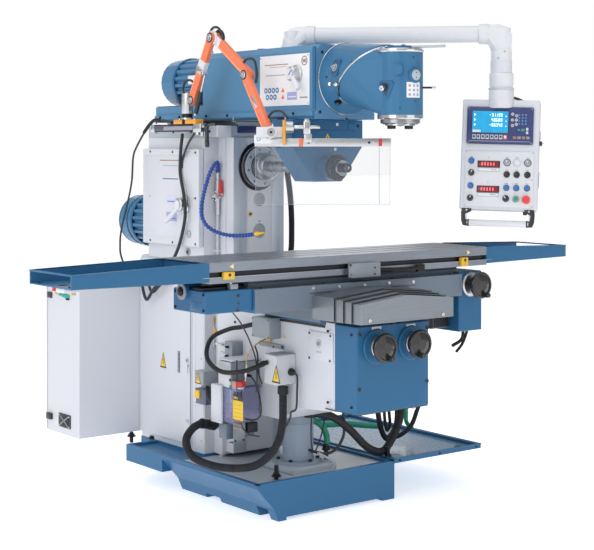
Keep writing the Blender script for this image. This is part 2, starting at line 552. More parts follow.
for i in range(8):
    x = -127 + i * 21.2
    pd.add(box(x, PF - 17, 72, x + 16.5, PF - 13.5, 93, 1.6), LIGHTPL if i < 7 else SALMON, PD)
    pd.add(box(x + 3.6, PF - 18.2, 77.5, x + 12.9, PF - 16.5, 88.5, 1.0), NAVY if i < 7 else LABEL, PD)
for x, z in ((61.8, 190.2), (81, 182.7), (61.3, 162.8), (80.2, 162.8), (62, 137.2), (80.3, 143.2)):
    pd.add(rod((x, PF - 13.5, z), (x, PF - 17.5, z), 7.6, 6.8, 20), LIGHTPL, PD)
    pd.add(rod((x, PF - 17, z), (x, PF - 18.2, z), 4.3, 4.0, 16), LABELGREY, PD)
for i in range(3):
    for j in range(4):
        x = 94 + i * 15.5
        z = 187 - j * 14.0
        pd.add(box(x - 5.2, PF - 17, z - 4.8, x + 5.2, PF - 13.5, z + 4.8, 1.2), plastic("key_blue", (0.03, 0.13, 0.36), rough=0.35) if (i, j) == (0, 0) else MATS["key_blue"], PD)
        pd.add(box(x - 2, PF - 17.6, z - 0.8, x + 2, PF - 16.8, z + 0.8), LABEL, PD)
pd.add(box(88, PF - 17, 113, 98, PF - 13.5, 121, 1.4), TEAL, PD)
pd.add(box(104, PF - 17, 111, 121, PF - 13.5, 123, 1.6), GREEN, PD)
pd.add(box(127, PF - 17, 115, 138, PF - 13.5, 128, 1.4), LIGHTPL, PD)
pd.add(box(127, PF - 17, 98, 138, PF - 13.5, 111, 1.4), LIGHTPL, PD)
pd.add(box(62, PF - 17, 72, 150, PF - 13.5, 90, 1.2), plastic("key_row", (0.05, 0.06, 0.16), rough=0.35), PD)
for i in range(4):
    pd.add(box(67 + i * 21, PF - 18, 75, 82 + i * 21, PF - 16.5, 87, 1.2), LABELBROWN if i % 2 == 0 else LABELGREY, PD)
pd.add(box(-141, PF - 15.4, 61.5, 148, PF - 14, 63.6), CHROME, PD)
for x in (-149, 155):
    for z in (56, 218):
        pd.add(cap_screw((x * 0.985, PF - 13.5, z * 0.99), (0, -1, 0), 2.6, 1.5, 12), CHROME, PD)
pd.done()

pk = Piece("pendant_controls", "panel", "black_plastic")
pk.add(box(-161, PF - 2.6, -240, 167, PF + 1, 21, 1.0), LIGHTPL, PK)
pk.add(box(-158, PF - 3.0, -237, 164, PF - 2, 18, 0.3), WHITEPL, PK)
for x, z in ((-154, 14), (160, 14), (-154, -233), (160, -233), (-154, -110), (160, -110)):
    pk.add(cap_screw((x, PF - 2.6, z), (0, -1, 0), 3.4, 2.6, 14), CHROME, PK)
for u in ((-131, -26.0), (-131, -142.0)):
    knob(pk, u[0], u[1], 12.5, 15, BLUEPL)
for u in ((-130, -82.0), (-131, -199.0)):
    knob(pk, u[0], u[1], 13, 17, BLACK, pointer=(25, LABEL))
for z, txt in ((-41, "00000"), (-157, "00000")):
    pk.add(box(-101, PF - 7.5, z - 15.5, 6, PF - 2, z + 15.5, 2), DARKPAINT, PK)
    pk.add(box(-93, PF - 8.1, z - 10, -2, PF - 7, z + 10, 0.4), METERRED, PK)
    pk.add(digits(txt, -81, z, 13, PF - 8.0, pitch=1.05), GLOWRED, PK)
    pk.add(box(-98, PF - 5.5, z - 33, 3, PF - 2, z - 18, 1.2), GREYPL, PK)
    pk.add(box(-96, PF - 6.2, z - 31.5, 1, PF - 5, z - 19.5, 0.6), LABEL, PK)
    for k in range(4):
        pk.add(box(-36 + k * 7, PF - 6.8, z - 27, -32 + k * 7, PF - 6, z - 24), DARKPAINT, PK)
cols = (39, 86, 136.5)
for x in cols:
    if x != 86:
        knob(pk, x, -31, 15, 9, GREYPL, pointer=(-30, LABEL))
        pk.add(ring((x, PF - 10.5, -31), (0, -1, 0), 12.5, 9.5, 2.0, 24, 0.5), CHROME, PK)
    else:
        pk.add(ring((x, PF - 2.4, -31), (0, -1, 0), 18, 14, 5, 28, 1), LIGHTPL, PK)
        pk.add(lathe([(14.5, 0), (14.5, 6), (12, 9), (6, 11), (0, 11.4)], (0, -1, 0), (x, PF - 2.4, -31), 28), WHITEPL, PK)
for x in cols:
    knob(pk, x, -86.5, 12.5, 11, BLACK)
    pk.add(ring((x, PF - 2.4, -86.5), (0, -1, 0), 15.5, 13, 4.2, 24, 0.8), DARKPAINT, PK)
for x in cols:
    knob(pk, x, -148, 12.5, 15, BLUEPL)
    pk.add(box(x - 7, PF - 3.6, -130, x + 7, PF - 2.8, -127), LABELGREY, PK)
knob(pk, 38, -198, 13.5, 16, BLACK, pointer=(-40, LABEL))
for x, z in ((85, -199), (134, -201)):
    pk.add(ring((x, PF - 2.2, z), (0, -1, 0), 17.5 if x == 85 else 21, 12.2, 3.4, 30, 0.8), CHROME if x == 85 else LABELYEL, PK)
for x in (-131, 39, 86, 136.5):
    for z in (-8, -66):
        pk.add(box(x - 6, PF - 3.5, z - 1.2, x + 6, PF - 2.8, z + 1.2), LABELGREY, PK)
pk.add(box(-52, PF - 3.5, -10, -46, PF - 2.8, -7), LABELGREY, PK)
pk.add(box(-52, PF - 3.5, -126, -46, PF - 2.8, -123), LABELGREY, PK)
pk.done()

ph = Piece("pendant_handle", "panel", "black_plastic", angle=40)
for s in (-1, 1):
    pts = [(s * 163, -243), (s * 168, -262), (s * 166, -300), (s * 158, -322), (s * 132, -324), (s * 130, -300),
           (s * 146, -294), (s * 149, -270), (s * 122, -256), (s * 120, -244)]
    ph.add(sheet(pts, 'xz', PF - 2, PF + 26, 3, 2), DARKPAINT, PM)
    ph.add(cap_screw((s * 142, PF - 2, -252), (0, -1, 0), 4, 2.5, 12), CHROME, PM)
ph.add(lathe([(0, -140), (15, -140), (15.5, -137), (15.5, 137), (15, 140), (0, 140)], (1, 0, 0), (0, PF + 12, -309), 28), WHITEPL, PM)
for s in (-1, 1):
    ph.add(ring((s * 133 - 3, PF + 12, -309), (1, 0, 0), 17.2, 15, 6, 24), DARKPAINT, PM)
ph.done()

px = Piece("pendant_case_trim", "panel", "white_paint")
px.add(box(176.4, PF + 30, 58, 190, PF + 44, 78, 2), DARKPAINT, PM)
px.add(rod((190, PF + 37, 68), (197, PF + 37, 68), 5, 4, 16), CHROME, PM)
px.add(box(176.6, PF + 62, 60, 179.5, PF + 84, 130, 1), GREYPL, PM)
px.add(box(176.6, PF + 62, -130, 179.5, PF + 84, -60, 1), GREYPL, PM)
for i in range(9):
    px.add(box(-60, PF + 84.6, 60 + i * 14, 60, PF + 86.2, 66 + i * 14, 0.6), GREYPL, PM)
for s in (-1, 1):
    px.add(cap_screw((s * 165, PF + 85, 248), (0, 1, 0), 5, 3), CHROME, PM)
    px.add(cap_screw((s * 165, PF + 85, -232), (0, 1, 0), 5, 3), CHROME, PM)
px.add(rod((120, PF + 70, -246), (120, PF + 70, -262), 11, 9, 18), BLACK, PM)
# neck collars and clamping lever
ex, ey = 681, -977
px.add(lathe([(0, 1852), (55, 1852), (58, 1856), (58, 1932), (55, 1938), (51, 1942), (0, 1942)], (0, 0, 1), (ex, ey, 0), 40), WHITEPL)
px.add(lathe([(0, 1944), (52, 1944), (56, 1962), (56, 2008), (53, 2012), (0, 2012)], (0, 0, 1), (ex, ey, 0), 40), WHITEPL)
px.add(lathe([(0, 1938), (60, 1938), (60, 1944), (0, 1944)], (0, 0, 1), (ex, ey, 0), 40), LIGHTPL)
px.add(rod((ex + 40, ey + 20, 1900), (ex + 78, ey + 2, 1900), 6, 6, 14), CHROME)
px.add(tube([(ex + 72, ey + 5, 1900), (ex + 92, ey - 12, 1896), (ex + 118, ey - 44, 1876)], 6.5, 12), BLACK)
px.add(lathe([(0, 0), (9, 0), (10, 4), (9, 12), (6, 16), (0, 17)], (0.4, -0.5, -0.3), (ex + 112, ey - 38, 1880), 18), BLACK)
px.done()

pa = Piece("pendant_arm_covers", "arm", "white_paint", angle=18)
A0, A1 = Vector((0, -288, 0)), Vector((681, -977, 0))
d = (A1 - A0).normalized()
s_ = Vector((-d.y, d.x, 0))
def poly8(c, ax, side, r, k=8, tw=0.5):
    up = ax.cross(side).normalized()
    return [c + (side * math.cos(math.tau * (i + tw) / k) + up * math.sin(math.tau * (i + tw) / k)) * r for i in range(k)]
def hull_of(pts):
    bm = bmesh.new()
    for p in pts:
        bm.verts.new(p)
    r = bmesh.ops.convex_hull(bm, input=bm.verts)
    bad = [e for e in r["geom_interior"] + r["geom_unused"] if isinstance(e, bmesh.types.BMVert)]
    if bad:
        bmesh.ops.delete(bm, geom=list(set(bad)), context='VERTS')
    bmesh.ops.dissolve_limit(bm, angle_limit=math.radians(1.5), verts=bm.verts, edges=bm.edges)
    bmesh.ops.recalc_face_normals(bm, faces=bm.faces)
    bmesh.ops.bevel(bm, geom=list(bm.edges), offset=1.6, segments=2, affect='EDGES', profile=0.5, clamp_overlap=True)
    return bm
def upv(p, z):
    return Vector((p.x, p.y, z))
Z = Vector((0, 0, 1))
# elbow over the neck: faceted moulding between the boom sleeve and the drop tube
pts = poly8(upv(A1 - d * 62, 2194), d, s_, 47) + poly8(upv(A1, 2118), Z, s_, 50)
pts += [upv(A1 + d * 26 + s_ * t, 2226) for t in (-26, 26)] + [upv(A1 + d * 50 + s_ * t, 2190) for t in (-26, 26)]
pts += [upv(A1 - d * 8 + s_ * t, 2238.5) for t in (-22, 22)]
pa.add(hull_of(pts), WHITEPL)
pa.add(lathe([(0, 0), (50.5, 0), (50.5, 3), (48, 6), (47.5, 112), (44, 114), (0, 114)], -Z, upv(A1, 2122), 36), WHITEPL)
pa.add(lathe([(0, 0), (47.5, 0), (48, 2), (46.5, 44), (43, 46), (0, 46)], -d, upv(A1 - d * 58, 2194), 36), WHITEPL)
# elbow on the ram
pts = poly8(upv(A0 + d * 64, 2194), d, s_, 47) + poly8(upv(A0, 2148), Z, s_, 58)
pts += [upv(A0 - d * 20 + s_ * t, 2226) for t in (-24, 24)] + [upv(A0 - d * 48 + s_ * t, 2186) for t in (-26, 26)]
pts += [upv(A0 + d * 14 + s_ * t, 2237) for t in (-22, 22)]
pa.add(hull_of(pts), WHITEPL)
pa.add(lathe([(0, 0), (47.5, 0), (48, 2), (46.5, 40), (43, 42), (0, 42)], d, upv(A0 + d * 60, 2194), 36), WHITEPL)
pa.add(lathe([(0, 0), (66, 0), (66, 5), (60, 9), (59, 18), (0, 18)], Z, upv(A0, 2130.8), 40), WHITEPL)
for i in range(4):
    a = math.tau * (i + 0.5) / 4
    pa.add(cap_screw((A0.x + 62 * math.cos(a), A0.y + 62 * math.sin(a), 2134), (0, 0, 1), 4, 3), CHROME)
for t in (-30, 30):
    pa.add(cap_screw(upv(A1 + s_ * t * 0.7 + d * 40, 2150), d, 3.5, 2.5), LIGHTPL)
    pa.add(cap_screw(upv(A1 - s_ * 50 + d * t * 0.5, 2095 + t * 0.5), -s_, 3.2, 1.8), LABELGREY)
pa.done()

# ===================================================================== head and ram
NRM = Vector((0, -1, -1)).normalized()
C2 = Vector((0, -855, 1985))
def on_plane(a, r, off=0.0):
    """Point at angle a on the 45 degree swivel plane."""
    e1 = Vector((-1, 0, 0))
    e2 = NRM.cross(e1).normalized()
    return C2 + e1 * (r * math.cos(a)) + e2 * (r * math.sin(a)) + NRM * off

hs = Piece("head_swivel_trim", "head", "blue_paint")
# bright graduated rim at the ram and degree marks
hs.add(ring((0, -671.6, 1977), (0, -1, 0), 164.5, 150, 9, 96, 1.6), CHROME)
for i in range(60):
    a = math.tau * i / 60
    l = 3.6 if i % 5 else 6.2
    m = Matrix.Translation((0, 0, 1977)) @ Matrix.Rotation(a, 4, 'Y')
    hs.add(box(164.0, -671.8 - 1.4 - l, -0.35, 164.9, -671.8 - 1.4, 0.35), DARKPAINT, m)
def pocket(p, pos, nrm, w, h, depth, up=(0, 0, 1)):
    """Recessed rounded pocket look: dark inset with a raised rim."""
    n = Vector(nrm).normalized()
    x = Vector(up).cross(n).normalized()
    y = n.cross(x)
    M = Matrix((( x.x, n.x, y.x, pos[0]), (x.y, n.y, y.y, pos[1]), (x.z, n.z, y.z, pos[2]), (0, 0, 0, 1)))
    return M
for (pos, nrm), (w, h) in ((((-163.7, -801.3, 2019.5), (-0.955, 0.067, 0.29)), (50, 78)),):
    M = pocket(hs, pos, nrm, w, h, 20)
    rim = box(-w / 2, -16, -h / 2, w / 2, 4.0, h / 2, 11, 4, 'y')
    hs.add(rim, BLUE2, M)
    inner = box(-w / 2 + 5, -14, -h / 2 + 5, w / 2 - 5, 4.6, h / 2 - 5, 9, 4, 'y')
    hs.add(inner, plastic("pocket_shade", (0.020, 0.075, 0.165), rough=0.5, grain=0.2), M)
    hs.add(hex_head((0, 4, -4), (0, 1, 0), 13, 10), CHROME, M)
    hs.add(rod((0, 12, -4), (0, 22, -4), 7, 6.4, 20), CHROME, M)
hs.add(hex_head((-99.8, -737.2, 1869.6), (-0.431, -0.404, -0.807), 12, 9), DARK)
hs.add(rod((-99.8, -737.2, 1869.6), (Vector((-99.8, -737.2, 1869.6)) + Vector((-0.43, -0.4, -0.81)) * 17), 6, 5.5, 16), CHROME)
hs.add(cap_screw((-164.8, -736.6, 1978.3), (-0.995, 0.056, -0.083), 5, 0.8), DARK)
hs.add(cap_screw((-156.8, -901.8, 2036.8), (-0.882, -0.333, 0.333), 5, 0.8), DARK)
# bright rod lying across the lower swivel
hs.add(rod((-161.5, -757, 1946.9), (Vector((-161.5, -757, 1946.9)) + Vector((-26, -66, -4))), 4.8, 4.8, 18), CHROME)
hs.add(rod((Vector((-161.5, -757, 1946.9)) + Vector((4, 3, 0))), (Vector((-161.5, -757, 1946.9)) + Vector((-5, -3, 0))), 8, 7, 18), CHROME)
hs.add(lathe([(0, 0), (8, 0), (9, 3), (8, 8), (0, 9)], (-26, -66, -4), (Vector((-161.5, -757, 1946.9)) + Vector((-25, -64, -4))), 18), CHROME)
hs.done()

# silver rim between the two swivels
sw = Piece("spindle_head_rim", "spindle_head", "aluminium")
sw.add(ring(C2 + NRM * 0.4, NRM, 175.5, 160, 7, 96, 1.2), CHROME)
for i in range(72):
    a = math.tau * i / 72
    l = 2.6 if i % 6 else 4.6
    c = on_plane(a, 175.6, 1.0)
    e = on_plane(a, 175.6, 1.0 + l)
    sw.add(rod(c, e, 0.55, 0.55, 6), DARKPAINT)
# T-bolt slot with its nut in the flange
for a0 in (math.radians(20), math.radians(200)):
    for k in range(12):
        a = a0 + math.radians(26) * k / 12
        c, e = on_plane(a, 169, 8), on_plane(a + math.radians(2.3), 169, 8)
        sw.add(rod(c, e, 5.2, 5.2, 10), DARK)
sw.done()

nose = Piece("spindle_head_details", "spindle_head", "blue_paint")
HY = -1037
# machined flange under the housing with bolts
nose.add(lathe([(52, 1788), (92, 1788), (96, 1790), (98.6, 1794), (98.6, 1806), (96, 1808.5), (60, 1809)], (0, 0, 1), (0, HY, 0), 64), CHROME)
nose.add(lathe([(66, 1771), (83, 1771), (85, 1773), (85, 1788), (66, 1788), (66, 1771)], (0, 0, 1), (0, HY, 0), 64), TURNEDZ)
for i in range(8):
    a = math.tau * (i + 0.5) / 8
    nose.add(cap_screw((75.5 * math.cos(a), HY + 75.5 * math.sin(a), 1771), (0, 0, -1), 5, 3), DARK)
# cap and drawbar lever on top
nose.add(lathe([(99, 2076), (100.5, 2079), (100.5, 2087), (98, 2091), (62, 2092), (0, 2092)], (0, 0, 1), (0, HY, 0), 64), CHROME)
nose.add(lathe([(0, 2090), (58, 2090), (58, 2097), (54, 2100), (30, 2101), (30, 2104), (0, 2104)], (0, 0, 1), (0, HY - 4, 0), 48), LIGHTGREY)
lev = sheet([(-36, -26), (40, -22), (182, -15), (190, -9), (190, 9), (182, 15), (40, 22), (-36, 26)], 'xy', 2094, 2104, 2.5, 2)
nose.add(lev, paint("lever_grey", (0.42, 0.45, 0.50), rough=0.36, wear=0.4), Matrix.Translation((6, HY - 14, 0)) @ Matrix.Rotation(math.radians(-64), 4, 'Z'))
nose.add(cap_screw((6, HY - 14, 2104), (0, 0, 1), 9, 7, 20), DARK)
# cast triangular pocket with the steel square
M = pocket(nose, *((-96.5, -1048.4, 1921.3), (-0.991, -0.131, 0)), 1, 1, 1)
tri = [(-34, 36), (40, 30), (44, 20), (18, -48), (6, -50), (-40, 20)]
nose.add(sheet(tri, 'xz', -20, 3.4, 5, 3), BLUE2, M)
tri2 = [(-25, 28), (31, 23), (33, 17), (13, -38), (8, -38), (-30, 18)]
nose.add(sheet(tri2, 'xz', -18, 4.4, 2, 2), MATS["pocket_shade"], M)
nose.add(lathe([(0, -6), (12, -6), (12, 26), (10.5, 28), (5.2, 28), (5.2, 20), (0, 20)], (0, 1, -0.25), (2, 0, 4), 28), CHROME, M)
nose.add(ring((2, 3, 3), (0, 1, -0.25), 17, 12, 5, 28), DARK, M)
# oil window boss, plate and stud on the front
M = pocket(nose, *((-2.8, -1134.6, 1976.1), (-0.131, -0.991, 0)), 1, 1, 1)
nose.add(lathe([(34, -30), (34, 3), (31, 8), (27, 10), (23, 10), (23, 5), (0, 5)], (0, 1, 0), (0, 0, 0), 40), BLUE2, M)
nose.add(lathe([(23, 5), (23, 8.5), (21, 9.5), (0, 9.5)], (0, 1, 0), (0, 0, 0), 36), LIGHTGREY, M)
for z in (-10, 10):
    nose.add(cap_screw((0, 9.5, z), (0, 1, 0), 2.6, 1.4, 12), DARKPAINT, M)
lp = [(-38, -30), (36, -30), (36, 32), (-38, 32)]
def wrapped(p, r, cy, a0, a1, z0, z1, material, t=1.2, k=10):
    """Thin plate bent round a vertical cylinder."""
    bm = bmesh.new()
    rows = []
    for i in range(k + 1):
        a = a0 + (a1 - a0) * i / k
        c, s = math.cos(a), math.sin(a)
        rows.append([bm.verts.new((rr * c, cy + rr * s, z)) for rr, z in ((r, z0), (r + t, z0), (r + t, z1), (r, z1))])
    for a, b in zip(rows, rows[1:]):
        for i in range(4):
            j = (i + 1) % 4
            bm.faces.new((a[i], a[j], b[j], b[i]))
    bm.faces.new(rows[0])
    bm.faces.new(rows[-1])
    bmesh.ops.recalc_face_normals(bm, faces=bm.faces)
    p.add(bm, material)
A = math.radians
wrapped(nose, 98.2, HY, A(244), A(285), 1880, 1946, LABEL)
for i in range(3):
    for j in range(3):
        wrapped(nose, 99.3, HY, A(249 + i * 12), A(255 + i * 12), 1888 + j * 19, 1898 + j * 19, LAVENDER if (i + j) % 2 else LABELGREY, 0.3, 3)
for (p_, n_) in (((-10.5, -1133.6, 2052.4), (-0.131, -0.991, 0)), ((-2.8, -1134.6, 1865.6), (-0.131, -0.991, 0)), ((-65.4, -1109.2, 1835.3), (-0.609, -0.793, 0))):
    nose.add(cap_screw(p_, n_, 4.2, 1.0, 14), DARKPAINT)
nose.add(rod((60, HY - 78, 1925), (98, HY - 104, 1925), 4.4, 4.4, 14), DARK)
nose.add(rod((92, HY - 100, 1925), (106, HY - 109.5, 1925), 6.5, 6.5, 16), CHROME)
# cable clip on top
nose.add(box(-86, HY + 12, 2088, -62, HY + 34, 2100, 2), CHROME)
nose.add(cap_screw((-74, HY + 23, 2100), (0, 0, 1), 4.5, 4), DARK)
nose.done()

vs = Piece("spindle_nose", "head_spindle", "ground_steel")
vs.add(lathe([(36, 1761), (62, 1761), (64.9, 1763), (64.9, 1770), (62, 1772), (36, 1772)], (0, 0, 1), (0, HY, 0), 64), CHROME)
for s in (-1, 1):
    vs.add(box(s * 50 - 14, HY - 13, 1747.5, s * 50 + 14, HY + 13, 1764, 2), DARK)
    vs.add(cap_screw((s * 50, HY, 1747.5), (0, 0, -1), 5, 1.2), CHROME)
for i in range(4):
    a = math.tau * (i + 0.5) / 4
    vs.add(rod((50 * math.cos(a), HY + 50 * math.sin(a), 1760.6), (50 * math.cos(a), HY + 50 * math.sin(a), 1761.4), 6.5, 6.5, 16), DARKPAINT)
vs.add(lathe([(34.8, 1761.2), (22, 1850), (0, 1850)], (0, 0, 1), (0, HY, 0), 48), DARK)
vs.done()

# ram side plate with its speed selector
rp = Piece("ram_plate", "ram", "white_paint")
rp.add(box(-173.5, -625, 1859, -169.5, -252, 2091, 1.2), LABEL)
for y in (-616, -261):
    for z in (1868, 2082):
        rp.add(cap_screw((-173.5, y, z), (-1, 0, 0), 4.5, 2.5), CHROME)
def side_label(p, x, y0, z0, y1, z1, material, t=0.5):
    p.add(box(x - t, y0, z0, x, y1, z1), material)
side_label(rp, -173.4, -470, 2046, -290, 2050, LABELBROWN)
side_label(rp, -173.4, -455, 2036, -330, 2038, LABELGREY)
side_label(rp, -173.4, -445, 1998, -300, 2002, LABELGREY)
for i in range(4):
    y = -300 - i * 29
    rp.add(rod((-173.3, y, 1931), (-174.2, y, 1931), 12.5, 12.5, 24), LABELBLUE)
    rp.add(rod((-174.0, y, 1931), (-174.5, y, 1931), 5.5, 5.5, 16), LABEL)
for i in range(3):
    y = -312 - i * 29
    rp.add(rod((-173.3, y, 1900), (-174.2, y, 1900), 12.5, 12.5, 24), LABELBLUE)
    rp.add(rod((-174.0, y, 1900), (-174.5, y, 1900), 5.5, 5.5, 16), LABEL)
for z in (1931, 1900):
    rp.add(sheet([(-443, z - 10), (-417, z - 10), (-430, z + 12)], 'yz', -174.2, -173.3), SALMON)
side_label(rp, -173.4, -534, 1884, -462, 1920, LAVENDER)
side_label(rp, -173.9, -527, 1896, -470, 1901, LABEL)
side_label(rp, -173.4, -612, 1890, -556, 1897, LABELGREY)
rp.add(ring((-173.3, -590, 2058), (-1, 0, 0), 22, 17, 1.0, 32, 0.2), LABELBROWN)
rp.add(box(-174.4, -603, 2050, -173.4, -577, 2066, 0), LABELGREY)
# bolted flange lines of the ram housing
rp.add(box(-183.5, -655, 1796, -170, 655, 1812, 3), BLUE)
rp.add(box(-181.5, -671, 1838, -170, -655, 2118, 2), BLUE)
for (p_, n_) in (((-137.5, -671, 2093), (0, -1, 0)), ((4.2, -671, 1796.6), (0, -1, 0)), ((-148.9, -671, 1825.8), (0, -1, 0)), ((-4.6, -671, 2080.5), (0, -1, 0))):
    rp.add(ring(p_, n_, 9, 6.2, 1.2, 24, 0.4), BLUE)
    rp.add(cap_screw(p_, n_, 6.0, 1.6), DARK)
for y in (-520, -260, 0, 180, 420, 600):
    rp.add(cap_screw((-182, y, 1822), (-1, 0, 0), 6.5, 5), DARK)
    rp.add(cap_screw((182, y, 1822), (1, 0, 0), 6.5, 5), DARK)
rp.add(box(-168, 215, 1877, 168, 655, 1880, 1), DARKPAINT)
rp.add(ring((-60, -120, 2130.4), (0, 0, 1), 26, 8, 10, 28, 2), BLUE)
rp.add(ring((90, 60, 2130.4), (0, 0, 1), 20, 7, 14, 6, 1), DARK)
rp.done()

rl = Piece("ram_speed_dial", "ram_lever", "aluminium")
rl.add(lathe([(41, 0.5), (41, 7), (38, 10), (33, 11), (33, 36), (30, 40), (12, 43.5), (0, 44)], (-1, 0, 0), (-174.2, -534, 2000), 40), ALU)
rl.add(rod((-218, -534, 2000), (-220.5, -534, 2000), 24, 24, 32), WHITEPL)
rl.add(sheet([(-530, 1992), (-540, 1994), (-556, 2016), (-546, 2012)], 'yz', -221.4, -220.3), LABELBLUE)
rl.add(lathe([(0, 0), (9, 0), (11, 10), (10, 40), (13, 62), (13.5, 82), (10, 90), (0, 92)], (-13, -64, -66), (-207, -540, 1994), 24), WHITEPL)
rl.done()

def fan_grille(p, x, y, z, r, rings=6, spokes=4):
    for k in range(rings):
        rr = r * (0.22 + 0.76 * k / (rings - 1))
        p.add(lathe([(rr - 1.4, 0), (rr - 1.4, 2.2), (rr + 1.4, 2.2), (rr + 1.4, 0), (rr - 1.4, 0)], (0, 1, 0), (x, y, z), 40), DARK)
    for k in range(spokes):
        m = Matrix.Translation((x, 0, z)) @ Matrix.Rotation(math.tau * k / spokes, 4, 'Y')
        p.add(box(r * 0.1, y + 0.3, -2, r * 0.98, y + 2.5, 2), DARK, m)
    p.add(rod((x, y + 0.2, z), (x, y + 3, z), r * 0.2, r * 0.18, 20), DARK)

rm = Piece("ram_motor_trim", "ram", "blue_paint")
rm.add(lathe([(118, 0), (127, 0), (127, 10), (122, 14), (112, 14)], (0, 1, 0), (0, 236, 2005), 56), BLUE)
rm.add(lathe([(116, 0), (126.5, 0), (127.5, 4), (127.5, 14), (122, 14)], (0, 1, 0), (0, 560, 2005), 56), BLUE)
rm.add(lathe([(0, 0), (86, 0), (86, 1.2), (0, 1.2)], (0, 1, 0), (0, 690.2, 2005), 48), DARKPAINT)
fan_grille(rm, 0, 691.4, 2005, 84)
for i in range(4):
    a = math.tau * (i + 0.5) / 4
    rm.add(cap_screw((126 * math.cos(a), 600, 2005 + 126 * math.sin(a)), (math.cos(a), 0, math.sin(a)), 4, 2.4), CHROME)
rm.add(box(102, 296, 1972, 166, 424, 2078, 6), BLUE)
for y in (306, 414):
    for z in (1982, 2068):
        rm.add(cap_screw((166, y, z), (1, 0, 0), 4, 2.4), CHROME)
rm.add(rod((134, 360, 1972), (134, 360, 1950), 13, 11, 20), BLACK)
rm.add(tube([(134, 360, 1952), (136, 362, 1920), (150, 380, 1880), (150, 380, 1790)], 8, 12, ribs=(7, 1.2)), CONDUIT)
rm.add(rod((0, 400, 2122), (0, 400, 2140), 7, 7, 6), DARK)
rm.add(ring((0, 403, 2150), (0, 1, 0), 14, 9, 6, 28, 1.5), CHROME)
rm.add(box(-124, 352, 1988, -121, 432, 2032, 0.5), LABEL)
rm.done()

# arbor support: bearing nose, cap screws and warning-free plate
asu = Piece("arbor_support_trim", "support", "blue_paint")
asu.add(lathe([(40, 0), (58.5, 0), (60, 3), (60, 18), (56, 22), (49, 24), (47, 30), (40, 30)], (0, -1, 0), (0, -596, 1576), 56), DARK)
asu.add(lathe([(26, 0), (46, 0), (46, 14), (43, 18), (38, 19), (38, 25), (26, 25)], (0, -1, 0), (0, -600, 1576), 48), steel("dark_turned", (0.10, 0.105, 0.12), rough=0.3))
for i in range(6):
    a = math.tau * (i + 0.3) / 6
    asu.add(cap_screw((52 * math.cos(a), -618.6, 1576 + 52 * math.sin(a)), (0, -1, 0), 4, 2.5, 12), BLACK)
for (p_, n_) in (((41.9, -543, 1661.2), (0, -1, 0)), ((53.8, -543, 1776.3), (0, -1, 0))):
    asu.add(ring(p_, n_, 12, 8, 1.4, 28, 0.5), BLUE)
    asu.add(cap_screw(p_, n_, 7.6, 3), CHROME)
asu.add(sheet([(-20, 1703), (14, 1703), (-3, 1733)], 'xz', -544.2, -543.1), LABELYEL)
asu.add(sheet([(-7.5, 1709), (1.5, 1709), (-3, 1722)], 'xz', -544.8, -544.0), DARKPAINT)
asu.add(box(-190, -545.5, 1742, 190, -543.5, 1746, 0.5), BLUE)
asu.add(box(120, -546, 1752, 176, -543.5, 1788, 1), BLUE)
for x in (-176, 176):
    asu.add(cap_screw((x, -543, 1768), (0, -1, 0), 8, 5), DARK)
asu.done()

# ===================================================================== column
cs = Piece("column_ways", "machine", "ground_steel")
for x0, x1 in ((-145, -70), (89, 157)):
    cs.add(box(x0, -0.45, 194.5, x1, 0.2, 1716.5, 0.1), WAYS)
cs.add(box(-68, 5.2, 940, 87, 5.9, 1716, 0.1), WHITE2)
# blind covers and bush in the middle of the face
for (z, r) in ((1415, 33), (1262, 36)):
    cs.add(lathe([(r, -0.2), (r, 1.4), (r - 1.5, 2.2), (4, 2.2), (3, 1.2), (0, 1.2)], (0, -1, 0), (12, 5.4, z), 44), GREYPL)
    cs.add(cap_screw((12, 3.4, z + r + 11), (0, -1, 0), 3.2, 1.6, 12), DARKPAINT)
cs.add(ring((-43, 5.4, 1345), (0, -1, 0), 12, 7, 3, 28, 1), BRASS)
cs.add(rod((-43, 4.5, 1345), (-43, 3.2, 1345), 7, 7, 20), DARKPAINT)
cs.done()

sr = Piece("spindle_ring", "machine", "ground_steel")
sr.add(lathe([(101, -0.5), (118, -0.5), (118, 5), (115, 9), (101.5, 9), (101, 8)], (0, -1, 0), (0, 5.6, 1576), 80), DARK)
sr.add(lathe([(118, -0.5), (124, -0.5), (124, 2.5), (118, 3)], (0, -1, 0), (0, 5.6, 1576), 80), WHITE2)
sr.done()
sf = Piece("spindle_flange", "main_spindle", "ground_steel")
sf.add(lathe([(66, 31.6), (97, 31.6), (99.5, 33), (99.5, 35.5), (70, 36.5), (66, 36)], (0, -1, 0), (0, 0, 1576), 72), LIGHTGREY)
for i in range(8):
    a = math.tau * (i + 0.25) / 8
    sf.add(cap_screw((84 * math.cos(a), -34.6, 1576 + 84 * math.sin(a)), (0, -1, 0), 6, 3.4), DARKPAINT)
sf.add(lathe([(26, 60), (63, 60), (65.5, 63), (65.5, 84), (62, 88), (56, 90), (56, 106), (52, 110), (26, 110)], (0, -1, 0), (0, 0, 1576), 56), TURNED)
for i in range(4):
    m = Matrix.Translation((0, 0, 1576)) @ Matrix.Rotation(math.tau * (i + 0.5) / 4, 4, 'Y')
    sf.add(box(52, -86, -13, 70, -62, 13, 2), GROUND, m)
